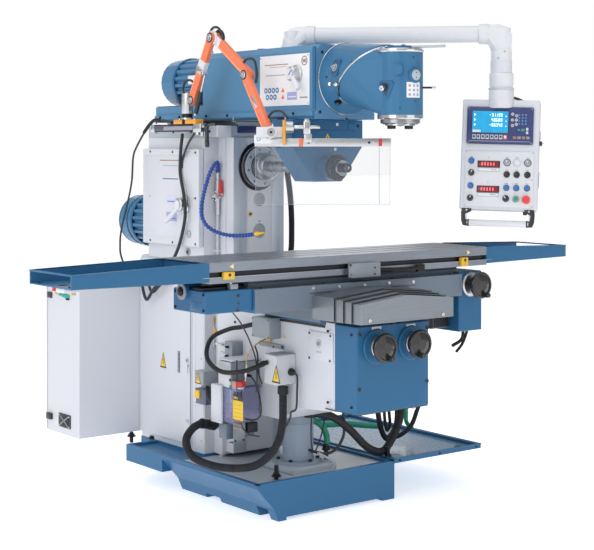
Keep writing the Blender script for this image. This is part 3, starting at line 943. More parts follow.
# spacing rings along the arbor
for k in range(8):
    sf.add(lathe([(25.0, 0), (25.12, 0.5), (25.15, 1.2), (25.15, 34), (25.12, 34.8), (25.0, 35.2)], (0, -1, 0), (0, -112 - k * 36, 1576), 48), TURNED if k % 2 else GROUND)
    sf.add(lathe([(25.03, 0), (25.1, 0.2), (25.1, 0.7), (25.03, 0.8)], (0, -1, 0), (0, -111.2 - k * 36, 1576), 40), DARK)
sf.add(lathe([(22, 0), (35, 0), (37, 2), (37, 20), (35, 22), (22, 22)], (0, -1, 0), (0, -622, 1576), 6), DARK)
sf.add(lathe([(20.3, 0), (21.5, 2), (21.5, 40), (18, 46), (8, 46), (8, 40), (0, 40)], (0, -1, 0), (0, -645, 1576), 36), DARK)
sf.done()

gc = Piece("gearbox_cover_trim", "machine", "white_paint")
gc.add(box(-264.6, 236, 1226, -261.6, 618, 1630, 1.0), WHITE)
for (p_, n_) in (((-262, 566.9, 1648), (-1, 0, 0)), ((-262, 360.3, 1646.1), (-1, 0, 0)), ((-262, 156.1, 1644.3), (-1, 0, 0)), ((-262, 566.9, 1422), (-1, 0, 0)), ((-262, 156.1, 1421.7), (-1, 0, 0)), ((-262, 566.9, 1198.4), (-1, 0, 0)), ((-262, 360.3, 1197.4), (-1, 0, 0)), ((-262, 156.1, 1198.4), (-1, 0, 0))):
    gc.add(ring(Vector(p_) + Vector((0.1, 0, 0)), n_, 8.2, 6, 0.8, 24, 0.2), WHITE)
    gc.add(cap_screw(Vector(p_) + Vector((0.6, 0, 0)), n_, 6, 3.2), BLACK)
gx = -264.5
p1 = (-265, 474.3, 1607)
p2 = (-265, 295.4, 1593)
gc.add(box(gx - 0.6, p2[1], p1[2] - 5, gx, p1[1], p1[2], 0), LABELBROWN)
gc.add(box(gx - 0.6, p2[1] + 14, p1[2] - 30, gx, p1[1] - 30, p1[2] - 27, 0), LABELGREY)
p1 = (-265, 448.3, 1518.2)
p2 = (-265, 306.5, 1512.8)
gc.add(box(gx - 0.6, p2[1], p1[2] - 8, gx, p1[1], p1[2] - 3, 0), LABELBLUE)
plastic("label_pale", (0.62, 0.64, 0.80), rough=0.4, bump=0.02)
for (q1, q2, m_) in (((-265, 413.9, 1432.3), (-265, 320.5, 1386.7), MATS["label_pale"]), ((-265, 413.9, 1347.5), (-265, 317.7, 1302.8), LAVENDER)):
    gc.add(box(gx - 0.6, q2[1], q2[2], gx, q1[1], q1[2], 0), m_)
    w = (q1[2] - q2[2])
    gc.add(box(gx - 0.9, q2[1] + 10, q2[2] + w * 0.25, gx - 0.5, q1[1] - 10, q2[2] + w * 0.36, 0), LABELBLUE)
q = (-263, 210.2, 1245.3)
gc.add(ring((-264.4, q[1], q[2]), (-1, 0, 0), 18, 14.5, 0.8, 32, 0.2), LABELGREY)
gc.add(box(-265.2, q[1] - 10, q[2] - 1.4, -264.3, q[1] + 10, q[2] + 1.4, 0), LABELGREY, None)
gc.add(lathe([(0, 0), (19, 0), (19, 3), (15, 6), (11, 6), (11, 3), (0, 3)], (-1, 0, 0), Vector((-230, 265.7, 1153.2)) + Vector((0.2, 0, 0)), 30), GREYPL)
gc.add(rod(Vector((-230, 265.7, 1153.2)) + Vector((-3, 0, 0)), Vector((-230, 265.7, 1153.2)) + Vector((-3.8, 0, 0)), 9, 9, 24), DARKPAINT)
gc.done()
cl = Piece("column_dial", "column_lever", "aluminium")
hb = (-262.5, 245, 1389)
cl.add(lathe([(44, 0.6), (44, 6), (40, 9), (33, 10), (33, 40), (29, 45), (10, 47.5), (0, 48)], (-1, 0, 0), (-263.6, 245, 1389), 44), ALU)
cl.add(rod((-310, 245, 1389), (-312, 245, 1389), 22, 22, 32), WHITEPL)
cl.add(lathe([(0, 0), (10, 0), (11.5, 12), (10, 40), (12.5, 80), (14, 112), (11, 122), (0, 124)], (-26, 92, -82), (-297, 240, 1384), 24), WHITEPL)
cl.done()

# slab, seams and fixings on the far side and at the back
cb = Piece("column_trim", "machine", "white_paint")
cb.add(box(-231, 128.8, 1112, -146.5, 130.4, 1716, 0.5), WHITE2)
cb.add(box(-146.6, 60, 301, -145.8, 66, 1716, 0.1), LIGHTGREY)
for z in (1660, 1400, 1130):
    cb.add(cap_screw((231, 200, z), (1, 0, 0), 6, 4), DARKPAINT)
    cb.add(cap_screw((231, 590, z), (1, 0, 0), 6, 4), DARKPAINT)
cb.add(box(229.5, 180, 1120, 234, 610, 1680, 2.5), WHITE)
cb.add(box(229.5, 250, 300, 233, 600, 1040, 2.5), WHITE)
for y in (270, 580):
    for z in (320, 670, 1020):
        cb.add(cap_screw((233, y, z), (1, 0, 0), 5.5, 3), DARKPAINT)
for i in range(9):
    cb.add(box(232.4, 330, 420 + i * 26, 235, 520, 430 + i * 26, 1.2), GREYPL)
cb.add(ring((232, 400, 1389), (1, 0, 0), 40, 6, 6, 40, 2), ALU)
cb.add(tube([(150, 300, 1776), (196, 300, 1790), (226, 300, 1760), (238, 310, 1690), (238, 330, 1500), (238, 420, 1200), (236, 460, 1050)], 9, 12, ribs=(8, 1.2)), CONDUIT)
cb.add(tube([(228, 118, 1745), (250, 112, 1738), (256, 92, 1700), (227.8, 76, 1605.5), (234.9, 72, 1540.2), (250, 72, 1454.6), (258.6, 70, 1353.8), (261.2, 70, 1253.1), (258.9, 72, 1152.5), (256, 96, 1080), (256, 150, 1020), (250, 186, 1000), (230, 200, 996)], 15.5, 18, ribs=(7, 1.5)), RUBBER)
cb.add(rod((229, 119, 1745.5), (244, 114, 1741.5), 20, 20, 20, 2), RUBBER)
cb.add(rod((229.5, 200, 996), (244, 193, 998), 20, 20, 20, 2), RUBBER)
bx = (264.3, 130, 1544)
cb.add(box(190, 118, 1622, 300, 124, 1700, 2), WHITE)
cb.add(box(190, 118, 1560, 214, 124, 1700, 2), WHITE)
cb.done()

# ram guide: dark gap, stop rod and clips
rg = Piece("ram_guide_trim", "machine", "grey_paint")
rg.add(box(-231.5, 10, 1717.6, -150, 20.6, 1774, 2), WHITE2)
q = (-96.8, 30.5, 1775.5)
rg.add(rod((q[0] + 1, q[1] + 2, q[2]), (q[0] - 0.2, q[1] - 2.6, q[2]), 9, 9, 24), DARKPAINT)
rg.add(box(-110, 12, 1739, 140, 19.6, 1772, 1), NAVY)
for x in (-205, 205):
    rg.add(cap_screw((x, 20, 1745), (0, -1, 0), 7, 5), DARK)
for y in (80, 240, 400, 560):
    rg.add(cap_screw((-230.4, y, 1746), (-1, 0, 0), 6, 4), DARK)
    rg.add(cap_screw((230.4, y, 1746), (1, 0, 0), 6, 4), DARK)
rg.done()
rc = Piece("ram_lower_cable", "ram", "black_plastic")
rc.add(tube([(-186, 640, 1800), (-187, 400, 1798), (-187, 100, 1800), (-186, -200, 1801), (-188, -480, 1803)], 4.2, 8), CABLE)
for y in (636, -60, -470):
    rc.add(box(-192, y - 6, 1790, -182, y + 6, 1814, 1.5), CHROME)
rc.done()

# ===================================================================== coolant line
ck = Piece("coolant_fittings", "machine", "aluminium")
ck.add(lathe([(0, 0), (26, 0), (28, 3), (28, 10), (22, 14), (16, 16), (16, 34), (0, 34)], (0, -1, 0), (-162, 129.4, 1432), 36), CHROME)
ck.add(rod((-162, 112, 1440), (-162, 84, 1440), 12, 11, 20), CHROME)
ck.add(rod((-162, 112, 1340), (-162, 112, 1420), 11.5, 11.5, 6), CHROME)
ck.add(rod((-162, 112, 1455), (-162, 112, 1505), 12, 12, 6), CHROME)
ck.add(rod((-162, 112, 1505), (-162, 112, 1545), 8.5, 8.5, 18), CHROME)
ck.add(rod((-162, 112, 1195), (-162, 112, 1345), 4.5, 4.5, 12), LIGHTPL)
ck.add(tube([(-162, 112, 1345), (-162, 112, 1200), (-161, 113, 1150), (-160, 120, 1000), (-158, 124, 700), (-150, 112, 420)], 6, 10), LIGHTPL)
for z in (1330, 1290, 1250, 1215):
    ck.add(lathe([(4.6, 0), (5, 1), (5, 9), (4.6, 10)], (0, 0, 1), (-162, 112, z), 14), RED)
for z in (1160, 900, 600):
    ck.add(box(-172, 106, z, -148, 131, z + 10, 2), LIGHTPL)
ck.done()
ch = Piece("coolant_hose", "machine", "black_plastic")
hose = spline([(-162, 112, 1545), (-163, 106, 1578), (-174, 92, 1598), (-198, 86, 1586), (-226, 88, 1542), (-242, 88.5, 1496.9), (-264, 83.4, 1439.5), (-280, 76.8, 1382.4), (-282, 68.7, 1334.7), (-262, 55.5, 1291.4), (-225, 38.3, 1264), (-186, 13.7, 1249.3), (-154, -24.3, 1245.1), (-124, -73, 1248.3), (-105, -127, 1256.3)], 4.0)
acc, last = 0.0, hose[0]
prevp = None
for p_ in hose:
    acc += (p_ - last).length
    last = p_
    if acc >= 15.5 or prevp is None:
        acc = 0.0
        if prevp is not None:
            d_ = p_ - prevp
            ch.add(lathe([(0, -9), (5.5, -8.6), (8.6, -6), (10.4, -2), (10.8, 1), (9.6, 4), (6.6, 7), (6.2, 10), (0, 10)], d_, prevp + d_ * 0.5, 16), HOSEBLUE)
        prevp = p_
e0, e1 = Vector((-105, -127, 1256.3)), Vector((-88, -190.6, 1266))
dd = (e1 - e0).normalized()
ch.add(lathe([(0, -4), (10, -4), (11.5, 0), (11.5, 12), (9, 20), (6, 26), (4.4, 52), (3.2, 54), (0, 54)], dd, e0, 20), YELLOW)
ch.done()
cv = Piece("coolant_valve_grip", "coolant_lever", "red_plastic")
cv.add(sheet([(-170, 1430), (-154, 1430), (-152, 1450), (-154, 1500), (-158, 1512), (-166, 1512), (-170, 1500), (-172, 1450)], 'xz', 78, 90, 2.2, 2), RED)
cv.add(cap_screw((-162, 78, 1440), (0, -1, 0), 6, 3.5), CHROME)
cv.done()

# ===================================================================== guard
gm = Piece("guard_rail_trim", "machine", "dark_steel")
gm.add(box(-347.5, 395, 1743, -312.5, 428, 1782, 3), CHROME)
gm.add(box(-346.6, 60, 1749, -345.6, 390, 1775, 0.3), plastic("rail_blue_grey", (0.06, 0.075, 0.11), rough=0.35))
a0, a1 = (-350, 213.9, 1803.8), (-350, 21.4, 1781)
gm.add(box(-352, a1[1], 1781, -306, a0[1], 1803, 2.5), AMBER)
gm.add(box(-354, 44, 1752, -350, 300, 1771, 1), LABELGREY)
for y in (60, 190):
    gm.add(cap_screw((-330, y, 1803), (0, 0, 1), 7, 5), CHROME)
# clamp on the rail with its T handle
gm.add(box(-352, -20, 1741, -318, 46, 1782, 5, 3), CHROME)
gm.add(rod((-335, -14, 1741), (-335, -14, 1722), 10, 9, 20), CHROME)
gm.add(hex_head((-335, 24, 1741), (0, 0, -1), 11, 12), CHROME)
gm.add(rod((-335, -44, 1768), (-335, -18, 1768), 7, 7, 16), CHROME)
gm.add(tube([(-335, -48, 1770), (-337, -90, 1776), (-338, -128, 1776)], 6, 12), BLACK)
gm.add(lathe([(0, 0), (7.5, 0), (9, 6), (9, 60), (11, 88), (9, 100), (0, 102)], (0.02, 0.0, -1), (-336, -52, 1770), 22), BLACK)
gm.add(lathe([(0, 0), (12, 0), (12, 12), (0, 12)], (0, -1, 0), (-335, -42, 1770), 24), BLACK)
gm.add(lathe([(26, 0), (34, 0), (34, 8), (26, 10)], (0, 0, 1), (-330, 124, 1803), 36), CHROME)
gm.done()

gp = Piece("guard_post_trim", "guard_swivel", "aluminium")
gp.add(lathe([(0, 1830.7), (26, 1830.7), (27, 1833), (27, 1896), (25.5, 1898), (25.5, 1900), (27, 1902), (27, 1924), (25, 1928), (0, 1928)], (0, 0, 1), (-330, 124, 0), 44), ALU)
gp.add(cap_screw((-330, 124, 1928), (0, 0, 1), 8, 4), CHROME)
gp.add(tube([(-330, 148, 1925), (-330, 162, 1950), (-330, 140, 1985), (-326, 96, 1990), (-318, 66, 1960)], 5.5, 10), CABLE)
gp.add(tube([(-336, 150, 1924), (-338, 158, 1880), (-338, 150, 1840)], 5.5, 10), CABLE)
gp.done()

def bolt(p, x, y, z, s, r=13):
    p.add(hex_head((x, y, z), (s, 0, 0), r, 9), CHROME)
    p.add(lathe([(0, 8), (r * 0.6, 8), (r * 0.55, 14), (0, 14.5)], (s, 0, 0), (x, y, z), 18), CHROME)
    p.add(lathe([(0, 0), (r * 1.7, 0), (r * 1.7, 1.6), (0, 1.8)], (s, 0, 0), (x, y, z), 30), DARK)
P0, P1, P2, P3 = (78, 1894), (-85, 2184), (-357, 1998), (-537, 1734)
def arm_frame(a, b):
    (ya, za), (yb, zb) = a, b
    d_ = Vector((0, yb - ya, zb - za)).normalized()
    return d_, Vector((0, -d_.z, d_.y))
def along(a, b, t, off=0.0, x=-332):
    d_, n_ = arm_frame(a, b)
    p_ = Vector((x, a[0], a[1])) + d_ * t + n_ * off
    return p_
def strip(p, a, b, t0, t1, w, x0, x1, material, bev=1.5, off=0.0):
    d_, n_ = arm_frame(a, b)
    q_ = [along(a, b, t, s * w + off) for t, s in ((t0, -1), (t1, -1), (t1, 1), (t0, 1))]
    p.add(sheet([(v_.y, v_.z) for v_ in q_], 'yz', x0, x1, bev, 2), material)
g1 = Piece("guard_arm_1_trim", "guard_1", "orange_paint")
bolt(g1, -343.4, *P0, -1)
strip(g1, P0, P1, 150, 212, 27, -346, -318, WHITEPL, 4)
strip(g1, P0, P1, 148, 176, 25, -350, -340, CHROME, 2)
strip(g1, P0, P1, 30, 305, 4, -345, -342.6, plastic("orange_light", (0.95, 0.34, 0.16), rough=0.35), 0.8, off=-16)
c0, c1, c2 = along(P0, P1, 160, 34), along(P0, P1, 70, 46), along(P0, P1, -40, 58)
g1.add(rod(c0, c1, 4.5, 4.5, 16), CHROME)
g1.add(rod(c1, c2, 11, 11, 24, 2), DARKPAINT)
g1.add(lathe([(0, 0), (9, 0), (9, 10), (0, 10)], c2 - c1, c2, 20), CHROME)
g1.add(rod(c0 + Vector((8, 0, 0)), c0 - Vector((10, 0, 0)), 8, 8, 20), CHROME)
g1.done()
g2 = Piece("guard_arm_2_trim", "guard_2", "orange_paint")
dd1, nn1 = arm_frame(P1, P2)
g2.add(lathe([(0, 0), (32, 0), (34, 2), (34, 8), (31, 10), (0, 10)], (-1, 0, 0), (-320, P1[0], P1[1]), 40), WHITEPL)
strip(g2, P1, P2, -8, 60, 24, -322.5, -318.6, WHITEPL, 3)
bolt(g2, -343.6, *P1, -1, 14)
g2.add(lathe([(0, 0), (38, 0), (40, 3), (40, 13), (37, 16), (0, 16)], (1, 0, 0), (-296.6, P1[0], P1[1]), 40), DARKPAINT)
g2.add(tube([(-310, P1[0] + 34, P1[1] - 40), (-312, P1[0] + 46, P1[1] + 6), (-312, P1[0] + 22, P1[1] + 46), (-310, P1[0] - 26, P1[1] + 44), (-306, P1[0] - 52, P1[1] + 4), (-304, P1[0] - 60, P1[1] - 30)], 6, 10), CABLE)
strip(g2, P1, P2, 40, 300, 4, -320.2, -318.4, MATS["orange_light"], 0.6, off=16)
g2.add(tube([(-306, P2[0] + 60, P2[1] + 44), (-306, P2[0] + 30, P2[1] + 72), (-306, P2[0] - 30, P2[1] + 68), (-306, P2[0] - 52, P2[1] + 10), (-306, P2[0] - 46, P2[1] - 38)], 6, 10), CABLE)
g2.done()
g3 = Piece("guard_arm_3_trim", "guard_3", "orange_paint")
bolt(g3, -343.4, *P2, -1)
bolt(g3, -343.4, *P3, -1, 15)
strip(g3, P2, P3, 120, 182, 8, -344.6, -342.6, CHROME, 0.8)
strip(g3, P2, P3, 36, 290, 4, -345, -342.6, MATS["orange_light"], 0.8, off=16)
g3.add(tube([(-322, P3[0] + 30, P3[1] + 60), (-318, P3[0] - 10, P3[1] + 92), (-314, P3[0] - 70, P3[1] + 92), (-310, P3[0] - 104, P3[1] + 66)], 5.5, 10), CABLE)
g3.done()

# clear shield: hub, amber block, clamp, bar and edges
GD, GN, G0 = Vector((0.7907, -0.6122, 0)), Vector((0.6122, 0.7907, 0)), Vector((-300, -561, 0))
GM = Matrix(((GD.x, GN.x, 0, G0.x), (GD.y, GN.y, 0, G0.y), (0, 0, 1, 0), (0, 0, 0, 1)))
gs = Piece("guard_shield_fittings", "guard_shield", "aluminium")
gs.add(box(-96, -20, 1712, 20, 4, 1760, 4, 3), WHITEPL, GM)
gs.add(lathe([(0, 0), (25, 0), (27, 3), (27, 12), (24, 15), (0, 15)], (0, -1, 0), (-30, -18, 1736), 36), WHITEPL, GM)
gs.add(hex_head((-30, -33, 1736), (0, -1, 0), 14, 9), CHROME, GM)
gs.add(cap_screw((-30, -42, 1736), (0, -1, 0), 6, 3), DARK, GM)
gs.add(box(20, -34, 1678, 34, 14, 1790, 2.5), AMBER, GM)
gs.add(lathe([(0, 0), (24, 0), (26, 2), (26, 32), (23, 36), (16, 38), (0, 38)], (1, 0, 0), (34, -12, 1758), 36), ALU, GM)
gs.add(rod((70, -12, 1758), (186, -12, 1758), 10, 10, 24, 2), CHROME, GM)
gs.add(box(112, -30, 1726, 144, 6, 1786, 6, 3), CHROME, GM)
gs.add(box(116, -16, 1690, 150, 4, 1730, 3), ALU, GM)
gs.add(hex_head((128, -12, 1786), (0, 0, 1), 12, 10), CHROME, GM)
gs.add(box(-104, -8.5, 1672.5, 502, -4.6, 1707, 1.2), ALU, GM)
gs.add(box(-104, -5, 1706.6, 502, 7.4, 1709, 0.8), ALU, GM)
gs.add(box(92, -11, 1672, 112, 9, 1710, 2), SALMON, GM)
gs.add(box(446, -11, 1674, 462, 9, 1708, 2), RED, GM)
gs.add(box(-106, -10, 1686, -30, -5, 1724, 1), LABEL, GM)
gs.add(ring((-86, -10, 1706), (0, -1, 0), 9, 6.6, 0.6, 24, 0.1), LABELBLUE, GM)
for x in (136, 404):
    gs.add(cap_screw((x, -8.5, 1690), (0, -1, 0), 5.5, 3), DARK, GM)
    gs.add(cap_screw((x + 22, -8.5, 1690), (0, -1, 0), 4.5, 2), CHROME, GM)
gs.add(tube([(20, 6, 1690), (4, 12, 1668), (-8, 10, 1676)], 5, 10), CABLE, GM)
gs.done()
ge = Piece("guard_shield_edges", "guard_shield", "clear_plastic")
for a_ in ((-100.5, -1.2, 1415, -98.5, 3.2, 1673), (496.5, -1.2, 1415, 498.5, 3.2, 1673), (-100, -1.2, 1414.5, 498, 3.2, 1416.6)):
    ge.add(box(*a_), CLEAREDGE, GM)
ge.add(box(448, -1.6, 1417, 451, 3.4, 1672), CLEAREDGE, GM)
ge.done()

# ===================================================================== table, guide and saddle
def plate(p, a, b, out, inn, material, bevel=0.0, side='y'):
    """Flat piece between two corner points on a face that looks to -Y or -X (or +X, +Y)."""
    a, b = list(a), list(b)
    i = "xyz".index(side[0])
    s = 1 if side.endswith('+') else -1
    v = a[i]
    lo = [min(a[k], b[k]) for k in range(3)]
    hi = [max(a[k], b[k]) for k in range(3)]
    ends = sorted((v + s * out, v - s * inn))
    lo[i], hi[i] = ends
    return p.add(box(*lo, *hi, bevel), material)
def warn_sign(p, c, side, w, h):
    """Blank yellow triangle with a dark rim and a plain bar."""
    x, y, z = c
    pl, a = ('xz', x) if side == 'y' else ('yz', y)
    v = y if side == 'y' else x
    def tri(k, dz=0):
        return [(a - w / 2 * k, z - h / 2 * k + dz), (a + w / 2 * k, z - h / 2 * k + dz), (a, z + h / 2 * k + dz)]
    p.add(sheet(tri(1.0), pl, v - 0.5, v - 0.1), DARKPAINT)
    p.add(sheet(tri(0.76, -h * 0.03), pl, v - 0.8, v - 0.4), LABELYEL)
    bar = [(a - w * 0.045, z - h * 0.28), (a + w * 0.045, z - h * 0.28), (a + w * 0.045, z + h * 0.12), (a - w * 0.045, z + h * 0.12)]
    p.add(sheet(bar, pl, v - 1.0, v - 0.7), DARKPAINT)

tb = Piece("table_edge_trim", "table", "ground_steel")
tb.add(box(-839, -769.6, 1134.4, 799, -769.1, 1154.6), DARK)
tb.add(box(-852, -785.3, 1131.6, 815, -783.8, 1133.9, 0.4), GROUND)
for yc in (-690, -600, -510):
    tb.add(box(-850, yc - 15.5, 1163.0, 812, yc + 15.5, 1163.6), DARK)
for (a, b) in (((-753.8, -785, 1153.9), (-701.4, -785, 1123.2)), ((602.9, -785, 1150.4), (645.6, -785, 1109.4))):
    plate(tb, a, b, 13, 8, YELLOW, 2.5)
    cx = (a[0] + b[0]) / 2
    z = max(a[2], b[2]) - 12
    tb.add(cap_screw((cx, -798, z), (0, -1, 0), 7, 1.5), DARKPAINT)
    tb.add(box(cx - 3, -799, min(a[2], b[2]) + 2, cx + 3, -797.6, z - 10, 0.2), AMBER)
for (c, s) in (((-710.1, -785, 1175.3), -1), ((659.8, -785, 1172.3), 1)):
    x, _, z = c
    tb.add(sheet([(x - s * 12, z - 12), (x - s * 12, z + 12), (x + s * 12, z)], 'xz', -785.7, -785.1), LABELYEL)
    tb.add(sheet([(x - s * 8, z - 7), (x - s * 8, z + 7), (x + s * 6, z)], 'xz', -786.0, -785.5), LABEL)
for x in (-800, 760):
    for y in (-735, -645, -555, -470):
        tb.add(lathe([(3, 0), (5, 0), (5.6, 0.7), (4.4, 1.1), (3, 0.6)], (0, 0, 1), (x, y, 1194.6), 18), DARK)
# drain seam at the tray joints and tray flanges
for x, s in ((-853.5, -1), (815.5, 1)):
    tb.add(box(min(x, x - s * 3), -784, 1190, max(x, x - s * 3), -444, 1195.4, 0.5), DARK)
    for y in (-770, -460):
        tb.add(cap_screw((x + s * 0.5, y, 1146), (s, 0, 0), 6, 4), DARK)
tb.done()

tt = Piece("table_tray_trim", "table", "blue_paint")
tt.add(sheet([(-852.5, 1190), (-852.5, 1195.5), (-1457.5, 1179.5), (-1457.5, 1174)], 'xz', -788, -781, 1.2), BLUESHEET)
tt.add(sheet([(-852.5, 1190), (-852.5, 1195.5), (-1457.5, 1179.5), (-1457.5, 1174)], 'xz', -448, -441, 1.2), BLUESHEET)
tt.add(sheet([(815.5, 1190), (815.5, 1195.5), (1339.5, 1179.5), (1339.5, 1174)], 'xz', -788, -781, 1.2), BLUESHEET)
tt.add(sheet([(815.5, 1190), (815.5, 1195.5), (1339.5, 1179.5), (1339.5, 1174)], 'xz', -448, -441, 1.2), BLUESHEET)
tt.add(box(-1460, -786, 1173, -1454, -442, 1180, 1.5), BLUESHEET)
tt.add(box(1336, -786, 1173, 1342, -442, 1180, 1.5), BLUESHEET)
a = (-1513.8, -785, 1138.2)
tt.add(box(-1452, -720, 1104, -1380, -650, 1122, 2), WHITEPL)
tt.add(rod((-1395, -690, 1122), (-1395, -690, 1092), 9, 8, 20), BRASS)
for xx in (-1440, 1320):
    for y in (-740, -490):
        tt.add(cap_screw((xx, y, 1128.5), (0, 0, 1), 6, 3), DARK)
tt.add(lathe([(0, 0.4), (20, 0.4), (22, 1.6), (20, 2.2), (14, 0.8), (0, 0.8)], (0, 0, 1), (-1400, -615, 1127), 30), DARK)
tt.done()

gd = Piece("table_guide_trim", "saddle", "grey_paint")
# painted end of the guide, black adjusting screws and the gap under the table
gd.add(box(-590.2, -784, 972, -588.6, -431, 1070, 0.8), BLUE)
gd.add(box(-588, -745, 1093, 619, -741, 1104, 0.3), DARK)
plate(gd, (-79.3, -785, 1156.6), (89.6, -785, 1091.9), 24, 8, GREYPL, 5)
plate(gd, (-95.6, -809, 1140.9), (40, -809, 1099.2), 1.5, 1, paint("switch_box", (0.29, 0.335, 0.39), rough=0.4), 1)
for c in ((-86.9, -809, 1151.9), (54, -809, 1133.2), (-85.7, -809, 1109.4), (52.7, -809, 1104.3)):
    gd.add(cap_screw(c, (0, -1, 0), 4, 2), DARK)
plate(gd, (318.3, -790, 1133.3), (362.8, -790, 1098.6), 14, 6, RUBBER, 4)
gd.add(tube([(73.3, -800, 1122.9), (144.3, -800, 1118.2), (216.2, -800, 1115.4), (275.8, -800, 1115.3), (317.2, -800, 1119.1)], 8.5, 12), RUBBER)
gd.add(tube([(80, -796, 1109.2), (160.8, -796, 1107.3), (246.2, -796, 1111.6), (316.9, -796, 1112.9)], 4, 8), CABLE)
gd.add(box(-299, -787.5, 1040, 318, -784.6, 1069, 1), GREY)
gd.add(box(-299, -788.0, 1038, 318, -787, 1040, 0.3), DARK)
for (p_, n_) in (((-279.6, -787.5, 1058.9), (0, -1, 0)), ((-132.8, -787.5, 1057.2), (0, -1, 0)), ((12.6, -787.5, 1055.7), (0, -1, 0)), ((157.2, -787.5, 1057.1), (0, -1, 0)), ((304, -787.5, 1055), (0, -1, 0))):
    gd.add(cap_screw(p_, n_, 7.5, 3.5), CHROME)
for (p_, n_), r in ((((-665.4, -770, 1050.1), (0, -1, 0)), 7), (((-663.2, -770, 1019.2), (0, -1, 0)), 4.5), (((-667.6, -770, 990.1), (0, -1, 0)), 7)):
    gd.add(cap_screw(p_, n_, r, 3), DARKPAINT)
# lubrication and wiper strips under the table
gd.add(box(-589.5, -700, 1072.3, -560, -640, 1092, 2), RUBBER)
gd.add(box(590, -700, 1072.3, 620.2, -640, 1092, 2), RUBBER)
for y in (-760, -470):
    for x in (-540, -200, 200, 560):
        gd.add(cap_screw((x, y, 1072), (0, 0, 1), 6, 4), DARK)
for x in (-450, -150, 150, 450):
    gd.add(cap_screw((x, -429.5, 1020), (0, 1, 0), 7, 4), DARK)
gd.add(box(-560, -430.5, 985, 590, -427.5, 1003, 1), LIGHTGREY)
gd.done()

xg = Piece("x_gearbox_trim", "saddle", "blue_paint")
xg.add(lathe([(18, 0.2), (33, 0.2), (35, 2), (35, 6), (32, 8), (20, 8), (18, 6)], (-1, 0, 0), (-836.5, -607, 1066), 40), LABELGREY)
xg.add(lathe([(0, 0), (19, 0), (19, 13), (15, 17), (0, 17)], (-1, 0, 0), (-836.5, -607, 1066), 30), DARK)
xg.add(rod((-853, -607, 1066), (-859, -607, 1066), 8, 7, 6), DARKPAINT)
xg.add(box(-827.6, -744, 990, -826.6, -650, 1030, 0.5), BLUE)
for y in (-752, -540):
    for z in (996, 1062):
        xg.add(cap_screw((-827, y, z), (-1, 0, 0), 6, 4), DARK)
xg.add(box(-800, -560, 1076, -640, -530, 1092, 3), DARKPAINT)
xg.add(box(-700, -764, 1076.3, -660, -740, 1100, 3), GREYPL)
xg.add(box(-820, -740, 1076.3, -620, -565, 1087, 2), DARK)
xg.add(cap_screw((-690, -752, 1100), (0, 0, 1), 6, 4), CHROME)
xg.done()

sv = Piece("x_servo_trim", "saddle", "blue_paint")
for (z) in (812, 1064):
    for y in (-744, -486):
        sv.add(cap_screw((773, y, z), (1, 0, 0), 6, 4), DARK)
sv.add(box(772.6, -720, 840, 775.5, -510, 1040, 2.5), BLUE)
sv.add(ring((774, -607, 1018), (1, 0, 0), 36, 12, 5, 36, 1.5), BLUE)
sv.add(lathe([(58, 0), (58, 6), (52, 12), (40, 14), (28, 14), (28, 0)], (0, -1, 0), (697, -760.5, 1018), 40), ALU)
sv.add(lathe([(0, 0), (30, 0), (30, 18), (24, 22), (0, 22)], (0, -1, 0), (697, -772, 1018), 36), DARK)
sv.add(tube([(653.3, -700, 978.4), (661.7, -705, 916.2), (694.8, -705, 832.5), (699.7, -700, 755), (652.8, -680, 718.4)], 9, 12, ribs=(7, 1.4)), RUBBER)
sv.add(tube([(713.1, -700, 984.3), (728, -712, 912.3), (728, -712, 816.3), (706.4, -700, 735.2), (679.3, -680, 687.4)], 7, 12), RUBBER)
sv.add(box(600, -716, 928, 625, -574, 955, 4), DARK)
sv.add(box(512, -676, 932, 590, -604, 962, 5), RUBBER)
for k in range(7):
    sv.add(box(520 + k * 13, -702.5, 818, 526 + k * 13, -577.5, 926, 1), DARK)
sv.add(rod((430, -640, 872), (424, -640, 872), 36, 34, 32), DARKPAINT)
for y in (-676, -604):
    for z in (836, 908):
        sv.add(cap_screw((430, y, z), (-1, 0, 0), 4.5, 3), CHROME)
sv.done()


# ===================================================================== knee and its fittings
kn = Piece("knee_trim", "knee", "white_paint")
# label plate block and lubrication cover on the left face
plate(kn, (-199.5, -653.9, 859), (-199.5, -828.4, 731.9), 4, 1, WHITE, 1.2, 'x')
for q in ((-203.5, -664.1, 848.1), (-203.5, -811.6, 849.1), (-203.5, -663.4, 738.3), (-203.5, -808.1, 739.6)):
    kn.add(cap_screw(q, (-1, 0, 0), 5.5, 2.5), DARKPAINT)
kc = (-203.5, -729.9, 807.8)
kn.add(lathe([(6, 0.2), (19, 0.2), (19, 1.6), (17, 2.4), (8, 2.4), (6, 1.6)], (-1, 0, 0), kc, 32), LIGHTGREY)
kn.add(rod((kc[0] - 0.2, kc[1], kc[2]), (kc[0] - 2.8, kc[1], kc[2]), 7.5, 7.5, 24), DARKPAINT)
kn.add(rod((kc[0] - 2.4, kc[1], kc[2]), (kc[0] - 3.2, kc[1], kc[2]), 3.2, 3.2, 6), CHROME)
plate(kn, (-203.5, -711.9, 774.5), (-203.5, -747.8, 766.9), 0.5, 0, LIGHTGREY, 0, 'x')
